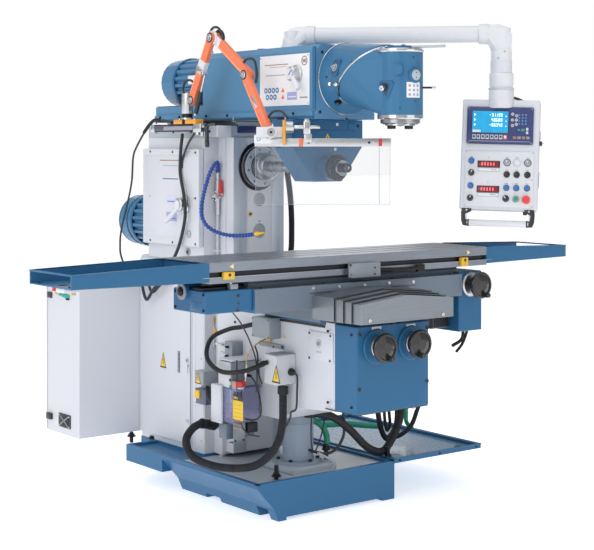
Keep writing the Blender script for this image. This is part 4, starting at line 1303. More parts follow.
# edge way at the top with rail and dog
kn.add(box(-203, -775, 893, -199, -330, 905, 1), BLUE)
kn.add(box(-206, -770, 880, -199.4, -420, 891, 1), DARKPAINT)
a, b = (-200, -289.9, 773.6), (-200, -473.8, 752.4)
kn.add(box(-207, b[1], b[2], -199.4, a[1], a[2], 2), GREYPL)
c = (-203, -360, 783.6)
kn.add(box(-214, c[1] - 22, c[2] - 5, -200, c[1] + 22, c[2] + 12, 4), YELLOW)
for q in ((-207, -403.7, 757.5), (-207, -468, 763.7)):
    kn.add(cap_screw(q, (-1, 0, 0), 5, 3), DARK)
c = (-199.4, -476.7, 812.1)
kn.add(sheet([(c[1] - 8, c[2] - 10), (c[1] + 8, c[2] - 10), (c[1], c[2] + 10)], 'yz', -200.3, -199.6), LABELYEL)
# junction box by the column
jb0, jb1 = (-262, -312.3, 893.7), (-262, -378.3, 799.6)
kn.add(box(-262, jb1[1] - 70, jb1[2], -200, jb0[1], jb0[2], 3), GREYPL)
kn.add(box(-264, jb1[1] - 66, jb1[2] + 4, -261.6, jb0[1] - 4, jb0[2] - 4, 1), GREYPL)
for y in (jb1[1] - 62, jb0[1] - 8):
    for z in (jb1[2] + 8, jb0[2] - 8):
        kn.add(cap_screw((-264, y, z), (-1, 0, 0), 3.2, 2), DARK)
kn.add(rod((-232, jb0[1] - 2, jb0[2] - 40), (-232, jb0[1] + 24, jb0[2] - 40), 12, 11, 18), RUBBER)
# loop hose from the junction box down to the control box
kn.add(tube([(-232, jb0[1] + 20, jb0[2] - 40), (-245, -201.5, 830.8), (-268, -139.3, 817.1), (-306, -55.5, 773.8), (-352, -73.9, 715.3), (-388, -150.9, 671.9), (-400, -264.9, 646), (-400, -404.9, 661.1), (-366, -478.5, 687.1), (-312, -499.3, 709.1)], 11, 14, ribs=(8, 1.0)), RUBBER)
kn.add(rod((-306, -449.6, 693.7), (-296, -487.5, 707.1), 13.5, 13.5, 20), RUBBER)
# thin cables
kn.add(tube([(-240, -129.7, 889.2), (-272, -231.3, 859.1), (-300, -325.8, 810.8), (-322, -402.7, 752.8), (-332, -439.5, 703.8), (-342, -460.8, 635.6), (-350, -464.1, 574.2)], 3.4, 8), CABLE)
kn.add(tube([(-262, -335.7, 758.4), (-290, -392.7, 730.7), (-318, -432.5, 692.7), (-330, -456.5, 651.8), (-330, -482.2, 610.3)], 4, 8), CABLE)
# shelf bracket and valve block on the knee side
s0, s1 = (-300, -50.9, 668.9), (-300, -317.9, 675)
kn.add(box(-365, -300, 690, -200, -190, 697, 1.5), WHITE)
kn.add(box(-260, -60, 730, -200, -8, 738, 1.5), WHITE)
v0 = (-250, -118.5, 711.8)
kn.add(box(-262, v0[1] - 34, v0[2] - 38, -200, v0[1] + 26, v0[2] + 44, 3), GREYPL)
for dz in (-16, 14):
    kn.add(rod((-256, v0[1] + 18, v0[2] + dz), (-256, v0[1] + 62, v0[2] + dz + 4), 5, 4.5, 12), CHROME)
kn.add(rod((-262, v0[1] - 4, v0[2] + 18), (-280, v0[1] - 8, v0[2] + 22), 6, 5, 12), DARK)
kn.add(rod((-262, v0[1] + 2, v0[2] - 26), (-276, v0[1] + 2, v0[2] - 26), 8, 7, 14), DARK)
for z in (700, 840):
    kn.add(cap_screw((-200, -90, z), (-1, 0, 0), 6, 4), DARK)
# small terminal box with a blank sign
t0, t1 = (-330, 59.7, 606.2), (-330, -14.2, 542.9)
tz0, tz1 = min(t0[2], t1[2]), max(t0[2], t1[2])
ty0, ty1 = min(t0[1], t1[1]), max(t0[1], t1[1])
kn.add(box(-330, ty0, tz0, -200, ty1, tz1, 3), GREYPL)
warn_sign(kn, (-330.2, 30.5, 572.9), 'x', 46, 56)
for y in (ty0 - 3,):
    for z in (tz0 + 16, tz1 - 16):
        kn.add(rod((-240, y, z), (-240, y - 14, z), 6, 6, 14), DARK)
# valve with yellow handle under it
vb0, vb1 = (-322, 69.1, 520.4), (-322, 15, 447.1)
bz0, bz1 = min(vb0[2], vb1[2]), max(vb0[2], vb1[2])
by0, by1 = min(vb0[1], vb1[1]), max(vb0[1], vb1[1])
kn.add(box(-322, by0 - 36, bz0, -250, by1, bz1, 3), plastic("slate_plastic", (0.10, 0.12, 0.19), rough=0.35))
kn.add(box(-330, by0 + 10, bz0 + 26, -320, by1 - 4, bz1 - 8, 4, 3), YELLOW)
kn.add(box(-323.5, by1 - 8, bz0 + 6, -321.5, by1 - 2, bz0 + 60, 0.6), LABEL)
kn.add(box(-300, by0 - 20, bz1 - 2, -260, by1 - 20, tz0 + 4, 2), GREYPL)
kn.add(tube([(-300, 0, 530.7), (-316, -24.5, 513.8), (-334, -67.2, 487.9), (-350, -137.1, 470.8), (-352, -190, 462.1), (-350, -240.7, 463.1)], 8.5, 12), CABLE)
kn.add(tube([(-296, -11.3, 529.3), (-310, -36.2, 507.5), (-326, -78.4, 483.8), (-344, -149.3, 466.2), (-346, -230.8, 464)], 6, 10), CABLE)
kn.done()

ks = Piece("lube_unit_trim", "knee", "grey_paint")
# pump head: switch plate, sight, filler cap, float window, yellow tag
ks.add(box(-366.2, -289, 570, -364.6, -191, 685, 1), LIGHTPL)
sw = (-366, -300, 588.8)
for k, m_ in ((0, DARKPAINT), (1, GREEN)):
    ks.add(box(-367.5, sw[1] + 8, sw[2] + 10 - k * 30, -366, sw[1] + 22, sw[2] + 24 - k * 30, 0.8), m_)
ks.add(box(-367.0, sw[1] - 34, sw[2] - 24, -366, sw[1] + 2, sw[2] + 16, 0.3), LABELGREY)
ks.add(box(-367.4, sw[1] - 30, sw[2] - 6, -366.6, sw[1] - 4, sw[2] + 8, 0.2), SALMON)
fc = (-345, -402, 567.9)
ks.add(lathe([(0, 0), (24, 0), (24, 8), (0, 8)], (0, 0, 1), (-338, -318, 569), 30), WHITEPL)
ks.add(lathe([(0, 0), (27, 0), (28, 3), (28, 24), (25, 27), (0, 27)], (0, 0, 1), (-338, -318, 577), 30), RED)
ks.add(box(-372, -308, 560, -198.5, -188, 568.6, 3), VIOLET)
ks.add(box(-372, -345, 560, -300, -300, 568.6, 3), VIOLET)
ks.add(box(-359, -294, 409.5, -211, -196, 462, 2), BROWN)
ks.add(rod((-338, -272, 425), (-338, -272, 562), 17, 17, 24), LIGHTPL)
ks.add(rod((-338, -272, 430), (-338, -272, 500), 18, 18, 24), LABELGREY)
lt0, lt1 = (-366, -308.1, 522.5), (-366, -386.3, 419.7)
lz0, lz1 = lt1[2] + 14, lt0[2]
ks.add(box(-367.6, lt1[1], lz0, -365.4, lt0[1], lz1, 0.6), LABELYEL)
ks.add(box(-367.9, lt1[1], lz1 - 2, -365.4, lt0[1], lz1 + 22, 0.6), DARKPAINT)
for i in range(3):
    ks.add(box(-368.3, lt0[1] - 14 - i * 11, lz1 + 5, -367.7, lt0[1] - 8 - i * 11, lz1 + 15, 0.1), LABELYEL)
for i in range(7):
    ks.add(box(-368.1, lt1[1] + 8, lz1 - 22 - i * 18, -367.4, lt0[1] - 8, lz1 - 20 - i * 18, 0.05), AMBER)
# metering valve and outlet lines
ks.add(rod((-300, -306, 600), (-300, -318, 640), 9, 8, 16), CHROME)
ks.add(rod((-300, -318, 640), (-300, -320, 676), 6, 6, 12), ALU)
ks.add(tube([(-300, -320, 672), (-300, -322, 700), (-290, -330, 735), (-262, -350, 770), (-215, -380, 800)], 3.2, 8), BRASS)
ks.add(rod((-280, -303, 622), (-280, -330, 622), 7, 6, 14), DARK)
ks.add(tube([(-280, -328, 622), (-282, -370, 590), (-280, -400, 520), (-276, -398, 452), (-282, -350, 424), (-296, -306, 424)], 3.6, 8), CABLE)
ks.add(tube([(-322, -304, 420), (-326, -330, 388), (-318, -372, 366), (-300, -420, 362)], 3.2, 8), CABLE)
ks.add(tube([(-352, -318, 700), (-354, -322, 640), (-352, -324, 560), (-350, -330, 500), (-344, -338, 470), (-334, -330, 500), (-328, -318, 560), (-322, -312, 600)], 3.4, 8), CABLE)
ks.done()

# control box with blank sign, gland and hanging conduit
kb = Piece("control_box_trim", "knee", "grey_paint")
for y in (-552, -478):
    for z in (618, 735):
        kb.add(cap_screw((-310, y, z), (-1, 0, 0), 3.2, 2), CHROME)
warn_sign(kb, (-310.2, -561, 663.6), 'x', 62, 82)
g = (-227.8, -560, 664.6)
kb.add(lathe([(0, 0), (17, 0), (17, 8), (13, 12), (13, 20), (8, 24), (0, 24)], (0, -1, 0), (g[0], -559.6, g[2]), 24), RUBBER)
kb.add(tube([(g[0], -580, g[2]), (g[0] + 8, -596, g[2] - 14), (g[0] + 6, -598, g[2] - 80), (g[0] + 2, -596, g[2] - 160), (-248.5, -590, 492.4), (-246.6, -580, 463.4), (-254.2, -560, 424.9)], 5, 8), CABLE)
kb.add(box(-306, -556, 743, -204, -474, 746, 1), GREYPL)
kb.done()

# gearbox front on the knee
kg = Piece("knee_gearbox_trim", "knee", "blue_paint")
for q in ((-193.1, -994, 873.7), (197.6, -994, 873.8), (197.6, -994, 638), (-194.2, -994, 639.4), (1.9, -994, 907.9)):
    kg.add(cap_screw(q, (0, -1, 0), 8.5, 4), DARKPAINT)
for (a, b) in (((-124.2, -994, 900.3), (-70.4, -994, 879.8)), ((74.7, -994, 897.2), (127.2, -994, 876.5))):
    plate(kg, a, b, 1.0, 0, LABEL, 0.2)
    kg.add(box(min(a[0], b[0]) + 8, -995.6, (a[2] + b[2]) / 2 - 2, max(a[0], b[0]) - 8, -994.8, (a[2] + b[2]) / 2 + 2), LABELGREY)
for x in (-100, 100):
    kg.add(lathe([(24, 0.3), (74, 0.3), (76, 2), (76, 7), (72, 10), (56, 11), (24, 11)], (0, -1, 0), (x, -994, 815), 52), BLUE)
    kg.add(lathe([(20, 10), (46, 10), (46, 24), (44, 26), (20, 26)], (0, -1, 0), (x, -994, 815), 48), ALU)
    for i in range(24):
        a = math.tau * i / 24
        kg.add(box(45.4, -1015, -0.7, 46.5, -1007 if i % 4 else -1004, 0.7), DARKPAINT, Matrix.Translation((x, 0, 815)) @ Matrix.Rotation(a, 4, 'Y'))
for z in (560, 870):
    for y in (-960, -800):
        kg.add(cap_screw((-208, y, z), (-1, 0, 0), 6, 4), DARK)
        kg.add(cap_screw((208, y, z), (1, 0, 0), 6, 4), DARK)
kg.add(box(-205, -991, 527, 205, -775, 531, 1.5), DARKPAINT)
# clutch knob at the lower right of the gearbox
q = (207.6, -1000, 604.6)
kg.add(rod((150, -960, 530), (150, -960, 512), 8, 8, 16), CHROME)
kg.add(box(209, -940, 560, 214, -820, 860, 2.5), BLUE)
for z in (580, 840):
    for y in (-925, -835):
        kg.add(cap_screw((214, y, z), (1, 0, 0), 5, 3), DARK)
kg.done()

for nm, body, x, sx in (("y_wheel_trim", "y_wheel", -100, 1), ("z_wheel_trim", "z_wheel", 100, -1), ("x_wheel_trim", "x_wheel", 697, 1)):
    cy, cz = (-1062, 815) if body != "x_wheel" else (-838, 1018)
    w = Piece(nm, body, "black_plastic")
    w.add(lathe([(0, 0), (15.5, 0), (16.5, 1.5), (16.5, 6), (14, 8.5), (7, 9.5), (6.5, 8.6), (0, 8.6)], (0, -1, 0), (x, cy + 9.8, cz), 32), ALU)
    w.add(rod((x, cy + 1.6, cz), (x, cy + 0.8, cz), 5.5, 5.5, 20), LABELGREY)
    w.add(lathe([(50, -2.2), (52, -4), (58, -3.6), (62, 0), (64, 5), (63.6, 10), (60, 16), (56, 16)], (0, 1, 0), (x, cy, cz), 64), BLACK)
    for r in (30, 40):
        w.add(lathe([(r, 0), (r + 1.2, -1.2), (r + 2.4, 0)], (0, 1, 0), (x, cy - 3.2 + (r - 30) * 0.26 + 2.6, cz), 56), DARKPAINT)
    a = math.radians(-75)
    kx, kz = x + 47 * math.cos(a) * sx, cz + 47 * math.sin(a)
    w.add(lathe([(0, 0), (8.5, 0), (10, 2), (11.6, 10), (12.6, 26), (11.5, 34), (8, 38), (0, 39.5)], (0, -1, 0), (kx, cy + 3, kz), 24), BLACK)
    w.add(lathe([(9, 0), (12, 0), (12, 2.5), (9, 2.5)], (0, -1, 0), (kx, cy + 4, kz), 24), CHROME)
    w.done()

# way cover sections: drip edges, rivets
for k, (body, y0, y1) in enumerate((("saddle", -931, -786), ("cover_2", -985, -825), ("cover_3", -1033, -873), ("knee", -1090, -930))):
    w, top = 282 - 6 * k, 1028 - 6 * k
    c = Piece("way_cover_edge_%d" % (k + 1), body, "way_cover_steel")
    e = 0.9
    c.add(sheet([(-w - e, 927), (-w - e, top + e), (0, top + 26 + e), (w + e, top + e), (w + e, 927), (w - 2, 927), (w - 2, top), (0, top + 24.5), (-w + 2, top), (-w + 2, 927)], 'xz', y0 - 0.4, y0 + 2.6), BRUSHED)
    if k < 3:
        c.add(sheet([(-w - e, 927), (-w - e, top + e), (0, top + 26 + e), (w + e, top + e), (w + e, 927), (w - 1, 927), (w - 1, top), (0, top + 25.2), (-w + 1, top), (-w + 1, 927)], 'xz', y0 - 1.5, y0 - 0.4), RUBBER)
    else:
        c.add(cap_screw((-218, -1090, 943.4), (0, -1, 0), 8, 4), CHROME)
        c.add(cap_screw((202, -1090, 941), (0, -1, 0), 8, 4), CHROME)
        c.add(box(-262, -1091.2, 929, 262, -1089.6, 931.5, 0.4), BRUSHED)
    c.done()

# ===================================================================== base, conduits and pillar
bf = Piece("base_floor", "machine", "grey_paint")
bf.add(box(-380.5, -522.5, 165.2, -132, 127, 166.4), LIGHTGREY)
bf.add(box(-132, -522.5, 165.2, 132, -445.5, 166.4), LIGHTGREY)
bf.add(box(-129.5, -192.8, 165.2, 129.5, 127, 166.4), LIGHTGREY)
bf.add(box(132, -522.5, 165.2, 382.5, 127, 166.4), LIGHTGREY)
bf.add(box(-124, -443, 193.0, 124, -195, 194.0, 0.3), LIGHTGREY)
bf.add(box(421, -526, 171.1, 966, 461, 171.9), plastic("tray_blue_grey", (0.15, 0.30, 0.465), rough=0.26, coat=0.3))
bf.add(lathe([(0, 0.3), (28, 0.3), (30, 1.6), (28, 2.4), (20, 0.9), (0, 0.9)], (0, 0, 1), (900, -480, 171.6), 30), DARK)
for i in range(7):
    bf.add(box(884 + i * 5, -494, 172.4, 886 + i * 5, -466, 173.4), DARKPAINT)
bf.done()

bt = Piece("base_trim", "machine", "blue_paint")
bt.add(box(-404.5, -546.5, 174, -381.5, 238, 180.9, 2.5, 2), BLUE)
bt.add(box(-404.5, -546.5, 174, 406, -523.5, 180.9, 2.5, 2), BLUE)
bt.add(box(383.5, -546.5, 174, 406, 570, 180.9, 2.5, 2), BLUE)
for (x, y, z) in (((-287.8, 710.2, 182)), ((-235.3, -462.7, 182)), ((426.1, -473.5, 182))):
    top = 203 if y > 100 else 232
    bt.add(rod((x, y, 150), (x, y, top), 10, 10, 20), DARK)
    bt.add(hex_head((x, y, 181), (0, 0, 1), 17, 14), DARK)
    for k in range(int((top - 199) / 3.2)):
        bt.add(lathe([(9.8, 0), (10.8, 1.4), (9.8, 2.8)], (0, 0, 1), (x, y, 197 + k * 3.2), 16), DARK)
for x in (-230, 230):
    bt.add(hex_head((x, 600, 180), (0, 0, 1), 16, 14), DARK)
for (x0, y0) in ((-300, -547), (240, -547)):
    pass
for x in (440, 700, 950):
    bt.add(cap_screw((x, -545, 177), (0, -1, 0), 5, 3), DARK)
bt.add(box(405.6, -546, 186, 986, -541, 189.4, 1), BLUESHEET)
bt.add(box(981, -546, 186, 986.5, 481, 189.4, 1), BLUESHEET)
bt.add(box(405.6, 475, 186, 986, 481, 189.4, 1), BLUESHEET)
bt.add(box(-126.6, -445.6, 166, 126.6, -444.1, 193.4, 0.3), LIGHTGREY)
bt.add(box(-126.6, -445.6, 166, -125.1, -193, 193.4, 0.3), LIGHTGREY)
bt.add(box(125.1, -445.6, 166, 126.6, -193, 193.4, 0.3), LIGHTGREY)
bt.done()

pt = Piece("pillar_trim", "machine", "grey_paint")
GREYP = MATS["pillar_grey"]
pt.add(lathe([(73.5, 207.5), (106, 207.5), (112, 204), (112, 195), (73.5, 195)], (0, 0, 1), (0, -319, 0), 60), GREYP)
pt.add(lathe([(73.2, 0), (76, 0), (76, 10), (73.2, 13)], (0, 0, 1), (0, -319, 208), 52), GREYP)
for i in range(6):
    a = math.tau * (i + 0.5) / 6
    pt.add(cap_screw((93 * math.cos(a), -319 + 93 * math.sin(a), 207.4), (0, 0, 1), 9, 9, 20), DARK)
pt.add(lathe([(73.3, 0), (73.9, 0.5), (73.3, 1)], (0, 0, 1), (0, -319, 380), 52), DARK)
pt.done()

# white stand and steel bracket by the column foot
st = Piece("pipe_stand", "machine", "white_paint")
q = (-149.1, 87.9, 166)
st.add(box(q[0] - 10, q[1] - 6, 166.2, q[0] + 10, q[1] + 12, 262, 3), WHITE)
st.add(box(q[0] - 16, q[1] - 12, 166.2, q[0] + 18, q[1] + 18, 170, 1.2), WHITE)
st.done()
sp = Piece("steel_bracket", "knee", "ground_steel")
sp.add(box(-352, -292, 314, -285, -288, 409, 1.5), BRUSHED)
sp.add(box(-352, -292, 312, -285, -250, 316, 1.5), BRUSHED)
sp.add(box(-370, -260, 330, -210, -200, 400, 3), GREY)
sp.add(box(-268, -286, 352, -210, -262, 398, 2), DARK)
for x in (-342, -296):
    sp.add(cap_screw((x, -292, 326), (0, -1, 0), 4.5, 3), DARK)
sp.done()
wb = Piece("pump_terminal_box", "knee", "white_paint")
w0, w1 = (-380, -159.7, 550), (-380, -232.8, 408.4)
wb.add(box(-380, -232, 400, -366.2, -150, 575, 3), WHITE)
wb.add(box(-366, -186, 400, -205, -150, 575, 3), WHITE)
wb.add(box(-381.2, -228, 407, -379.6, -154, 568, 0.8), WHITE)
for z in (414, 561):
    for y in (-222, -160):
        wb.add(cap_screw((-381.2, y, z), (-1, 0, 0), 3, 2), CHROME)
wb.done()

# big corrugated conduit: column foot fitting, floor loop, control box
KNEE0, KNEE1 = (0, 0, 200), (0, 0, 620)
f0 = (-334.6, -60, 367.3)
big = [(-334.6, -60, 367.3), (-393.3, -90, 381.2), (-484.4, -150, 375.9), (-569.8, -230, 344.6), (-603.7, -330, 298.5), (-550.4, -410, 263.2), (-455, -460, 246.6), (-377.8, -500, 257.3), (-311.8, -520, 300.4), (-268.1, -525, 360.4), (-244.1, -520, 432.9), (-238.3, -516, 511.1), (-238.3, -516, 562.3)]
cd = Piece("knee_conduit", ("machine", "knee", (0, 0, 260), (0, 0, 600)), "black_plastic")
cd.add(tube(big, 18.5, 20, ribs=(7.5, 1.6)), CONDUIT)
cd.done()
cf = Piece("conduit_foot_fitting", "machine", "black_plastic")
fa, fb = Vector((-293.6, -50, 356.2)), Vector((-392.9, -92, 382))
cf.add(rod(fa, fb, 22, 22, 28, 2), CONDUIT)
cf.add(rod((-140, 62, fa.z), fa, 19, 19, 20), CONDUIT)
cf.add(rod((-146, 56, fa.z), (-158, 46, fa.z), 27, 27, 24, 2), CONDUIT)
cf.add(rod(fa, fa + (fb - fa) * 0.3, 26, 26, 8, 2), CONDUIT)
cf.add(rod(fa + (fb - fa) * 0.86, fb, 24, 24, 28, 2), CONDUIT)
cf.done()
ct = Piece("conduit_top_fitting", "knee", "black_plastic")
ta, tb_ = Vector((-238.3, -516, 596.5)), Vector((-238.3, -516, 560.5))
ct.add(rod(ta, tb_, 23, 23, 28, 2), RUBBER)
for i in range(10):
    a = math.tau * i / 10
    ct.add(box(21.5, -1.6, 0, 24.4, 1.6, (ta - tb_).length - 3, 0.8), RUBBER, Matrix.Translation(tb_) @ Matrix.Rotation(a, 4, 'Z'))
ct.done()

# hoses behind the pillar: black conduits and green coolant hoses
hb = Piece("front_conduit", ("machine", "knee", (0, 0, 260), (0, 0, 540)), "black_plastic")
hb.add(tube([(-7.5, -420, 432), (44, -430, 425.7), (115.9, -440, 404), (210.7, -450, 334.1), (311.9, -455, 241.6), (408.5, -450, 207.7), (487.8, -430, 250.3), (553.1, -410, 322), (577.8, -400, 382.9), (583.7, -400, 438.2), (586, -402, 520), (552, -408, 598), (468, -415, 648), (340, -420, 664), (205, -420, 666)], 19, 18, ribs=(7, 1.4)), RUBBER)
hb.done()
hc = Piece("rear_conduits", ("machine", "knee", (0, 0, 260), (0, 0, 540)), "black_plastic")
hc.add(tube([(205, -340, 606), (340, -338, 596), (436, -334, 556), (476, -331, 486), (482.2, -330, 409.9), (491.3, -330, 350), (508.2, -330, 284.2), (544.8, -330, 232.9), (602.4, -320, 266.3), (622.3, -320, 323.5), (622.3, -320, 393.1), (622, -322, 480), (598, -326, 590), (508, -330, 664), (360, -335, 706), (205, -335, 712)], 14, 14, ribs=(7, 1.3)), RUBBER)
hc.add(tube([(205, -372, 584), (330, -368, 576), (430, -360, 536), (500, -352, 470), (510.2, -350, 409.7), (514.1, -350, 340.6), (530.3, -348, 279.4), (551.7, -346, 306), (546.4, -346, 365.8), (535, -348, 460), (480, -352, 560), (350, -362, 618), (205, -366, 626)], 8.5, 12, ribs=(6, 1.0)), RUBBER)
hc.add(tube([(205, -290, 762), (390, -292, 754), (570, -296, 716), (724, -300, 640), (812, -300, 540), (836, -300, 470), (823.2, -300, 418.9), (782.1, -300, 357.6), (735.7, -300, 272.1), (669.5, -280, 223.8), (611.2, -250, 219.2)], 12, 14, ribs=(6, 1.2)), RUBBER)
hc.done()
gh = Piece("coolant_return_hoses", ("machine", "knee", (0, 0, 240), (0, 0, 500)), "green_plastic")
GH = MATS["green_hose"]
gh.add(tube([(94.4, -260, 385.3), (134.7, -270, 361.6), (168.4, -290, 333.3), (188, -300, 284.6), (184.9, -300, 226.5)], 15, 16), GH)
gh.add(tube([(153.8, -200, 379.2), (251.6, -180, 316.7), (430.2, -150, 292.9), (564.2, -120, 264.9), (681.2, -100, 242.8)], 15, 16), GH)
gh.add(tube([(205, -240, 700), (400, -244, 690), (570, -250, 640), (690, -256, 560), (732, -260, 460), (736.7, -260, 372), (736.7, -260, 331.6), (740.1, -260, 280.6), (795.9, -240, 240.5)], 11, 16), GH)
gh.done()
gb = Piece("hose_connectors", "machine", "dark_steel")
e = Vector((184.9, -300, 226.5))
gb.add(rod(e, e + Vector((0, 0, 24)), 17, 15, 20), DARK)
gb.add(rod(e + Vector((0, 0, -8)), e, 20, 20, 6), DARK)
gb.add(rod((e.x, e.y, 166), (e.x, e.y, e.z), 11, 11, 18), DARK)
gb.done()
th = Piece("floor_cables", ("machine", "knee", (0, 0, 230), (0, 0, 520)), "black_plastic")
th.add(tube([(-6.5, -430, 422.2), (-17.3, -440, 350.9), (-12.6, -440, 280.8), (6.3, -440, 259.8), (50, -430, 322.4), (79, -420, 392.2), (93.1, -410, 435.9)], 3.6, 8), CABLE)
th.add(tube([(174.8, -440, 440.5), (181, -440, 359.7), (174.8, -440, 303.9), (130.4, -440, 251.2), (74, -430, 237.2), (36.1, -410, 246.2), (0.3, -380, 259.9)], 7, 10), CABLE)
th.add(tube([(32.1, -430, 245.5), (102, -440, 205.2), (114.9, -450, 177.1), (73.7, -460, 161.3)], 6, 8), LIGHTGREY)
th.done()
cn = Piece("under_knee_fittings", "knee", "black_plastic")
cn.add(rod((-29.1, -410, 434.8), (14.7, -422, 428.8), 20, 20, 20, 2), RUBBER)
for (y, z, r) in ((-420, 666, 24), (-340, 606, 19), (-335, 712, 19), (-372, 584, 13), (-366, 626, 13), (-290, 762, 17), (-240, 700, 16)):
    cn.add(rod((200, y, z), (232, y, z), r, r, 20, 2), RUBBER)
    cn.add(rod((200, y, z), (208, y, z), r + 4, r + 4, 6), DARK)
cn.done()

# ===================================================================== cabinet, doors, switch, rear motor
ec = Piece("cabinet_trim", "machine", "white_paint")
x = -593
# green glands above the switch, black socket, fan grille
for k, (q) in enumerate(((-593, 873.6, 920.1), (-593, 842.7, 916), (-593, 815.4, 911.6))):
    ec.add(rod((x, q[1], q[2]), (x - 12, q[1], q[2]), 11, 11, 6), TEAL)
    ec.add(lathe([(0, 10), (9, 10), (9, 22), (6, 26), (0, 26)], (-1, 0, 0), (x, q[1], q[2]), 18), TEAL)
q = (-593, 816.5, 901.6)
ec.add(rod((x, q[1], q[2]), (x - 14, q[1], q[2]), 9, 9, 6), CONDUIT)
a, b = (-593, 1033.6, 294.4), (-593, 986.3, 262.1)
plate(ec, a, b, 16, 1, DARKPAINT, 3, 'x')
a, b = (-593, 1036, 920), (-593, 991, 889.9)
plate(ec, a, b, 8, 1, DARKPAINT, 2, 'x')
a, b = (-593, 916.3, 313.3), (-593, 793.9, 233.4)
y0, y1, z0, z1 = min(a[1], b[1]), max(a[1], b[1]), min(a[2], b[2]) + 6, max(a[2], b[2]) - 4
ec.add(box(x - 6, y0, z0, x + 1, y1, z1, 3), DARKPAINT)
cy, cz = (y0 + y1) / 2, (z0 + z1) / 2
for k in range(9):
    zz = z0 + 10 + k * (z1 - z0 - 20) / 8
    ec.add(box(x - 7.5, y0 + 8, zz - 2.0, x - 5.5, y1 - 8, zz + 1.0, 0.5), DARK)
for s in (-1, 1):
    L = math.hypot(y1 - y0 - 20, z1 - z0 - 20) / 2
    ec.add(box(x - 8.6, -L, -2.6, x - 6.5, L, 2.6, 0.6), GREYPL, Matrix.Translation((0, cy, cz)) @ Matrix.Rotation(s * math.atan2(z1 - z0, y1 - y0), 4, 'X'))
for yy in (y0 + 8, y1 - 8):
    for zz in (z0 + 8, z1 - 8):
        ec.add(cap_screw((x - 6, yy, zz), (-1, 0, 0), 4, 2), CHROME)
# switch back plate
ec.add(box(x - 8, 862, 912, x + 0.5, 946, 1008, 5, 3), YELLOW)
for yy in (871, 937):
    for zz in (922, 998):
        ec.add(cap_screw((x - 8, yy, zz), (-1, 0, 0), 3.4, 2), DARK)
# seams of the folded sheet, hinge pins, lifting lugs
ec.add(box(-594, 1042.6, 205, -592.4, 1046, 1025, 0.2), LIGHTGREY)
ec.add(box(-593.6, 709.4, 1022, -229, 1061, 1026.2, 1.0), WHITE)
ec.add(box(-593.6, 709.4, 204.0, -229, 1045, 208, 1.0), WHITE)
for z in (290, 620, 950):
    ec.add(rod((-229.5, 1052, z - 28), (-229.5, 1052, z + 28), 6, 6, 16), CHROME)
for (xx, yy) in ((-560, 740), (-270, 740), (-560, 1020), (-270, 1020)):
    ec.add(ring((xx, yy, 1026), (0, 0, 1), 13, 6, 6, 24, 1.5), LIGHTPL)
ec.done()

cdh = Piece("cabinet_door_trim", "cabinet_door_leaf", "white_paint")
cdh.add(box(-560, 1060, 240, -262, 1062.5, 990, 2), WHITE)
cdh.add(box(-572, 1060, 560, -548, 1072, 680, 4), DARKPAINT)
cdh.add(box(-567, 1070, 575, -553, 1080, 665, 4), GREYPL)
cdh.add(cap_screw((-560, 1080, 600), (0, 1, 0), 6, 2), CHROME)
for i in range(10):
    cdh.add(box(-480, 1061.5, 300 + i * 16, -340, 1065.5, 307 + i * 16, 1.6), WHITE)
for i in range(10):
    cdh.add(box(-480, 1061.5, 800 + i * 14, -340, 1065.5, 806 + i * 14, 1.4), WHITE)
for z in (300, 930):
    cdh.add(box(-262, 1059.6, z - 30, -236, 1064, z + 30, 1), LIGHTPL)
cdh.done()

ksw = Piece("main_switch_grip", "main_switch_knob", "red_plastic")
ksw.add(lathe([(25, 0), (31, 0.8), (32, 3), (31, 9), (27, 13), (25, 14)], (-1, 0, 0), (-601.8, 905, 960), 40), RED)
ksw.add(sheet([(898, 934), (912, 934), (914, 940), (914, 980), (911, 986), (899, 986), (896, 980), (896, 940)], 'yz', -637, -616, 2.5, 2), RED)
ksw.add(box(-637.8, 902, 968, -636.5, 908, 983, 0.3), LABEL)
ksw.done()

cdr = Piece("column_door_trim", "column_door_leaf", "white_paint")
xd = -238
a, b = (-238, 355.3, 657.2), (-238, 328.7, 550.4)
y0, y1, z0, z1 = min(a[1], b[1]), max(a[1], b[1]), min(a[2], b[2]), max(a[2], b[2])
for k in range(16):
    zz = z0 + (k + 0.5) * (z1 - z0) / 16
    cdr.add(box(xd - 0.8, y0, zz - 2.6, xd - 0.1, y0 + (y1 - y0) * 0.62, zz + 2.6, 0.1), DARKPAINT)
cdr.add(box(xd - 0.7, y1 - 6, z0, xd - 0.1, y1 - 3, z1, 0), LABELGREY)
warn_sign(cdr, (-238.2, 483.3, 597.4), 'x', 58, 80)
cdr.add(box(xd - 3.5, 246, 560, xd, 262, 600, 2), CHROME)
cdr.add(rod((xd, 262, 620), (xd - 4, 262, 620), 12, 11, 28), CHROME)
cdr.add(rod((xd - 3.6, 262, 620), (xd - 4.6, 262, 620), 5, 5, 3), DARKPAINT)
cdr.add(rod((xd, 262, 920), (xd - 4, 262, 920), 12, 11, 28), CHROME)
cdr.add(rod((xd, 262, 320), (xd - 4, 262, 320), 12, 11, 28), CHROME)
for z in (270, 650, 1050):
    cdr.add(rod((-236.5, 703, z - 26), (-236.5, 703, z + 26), 4.5, 4.5, 14), LIGHTPL)
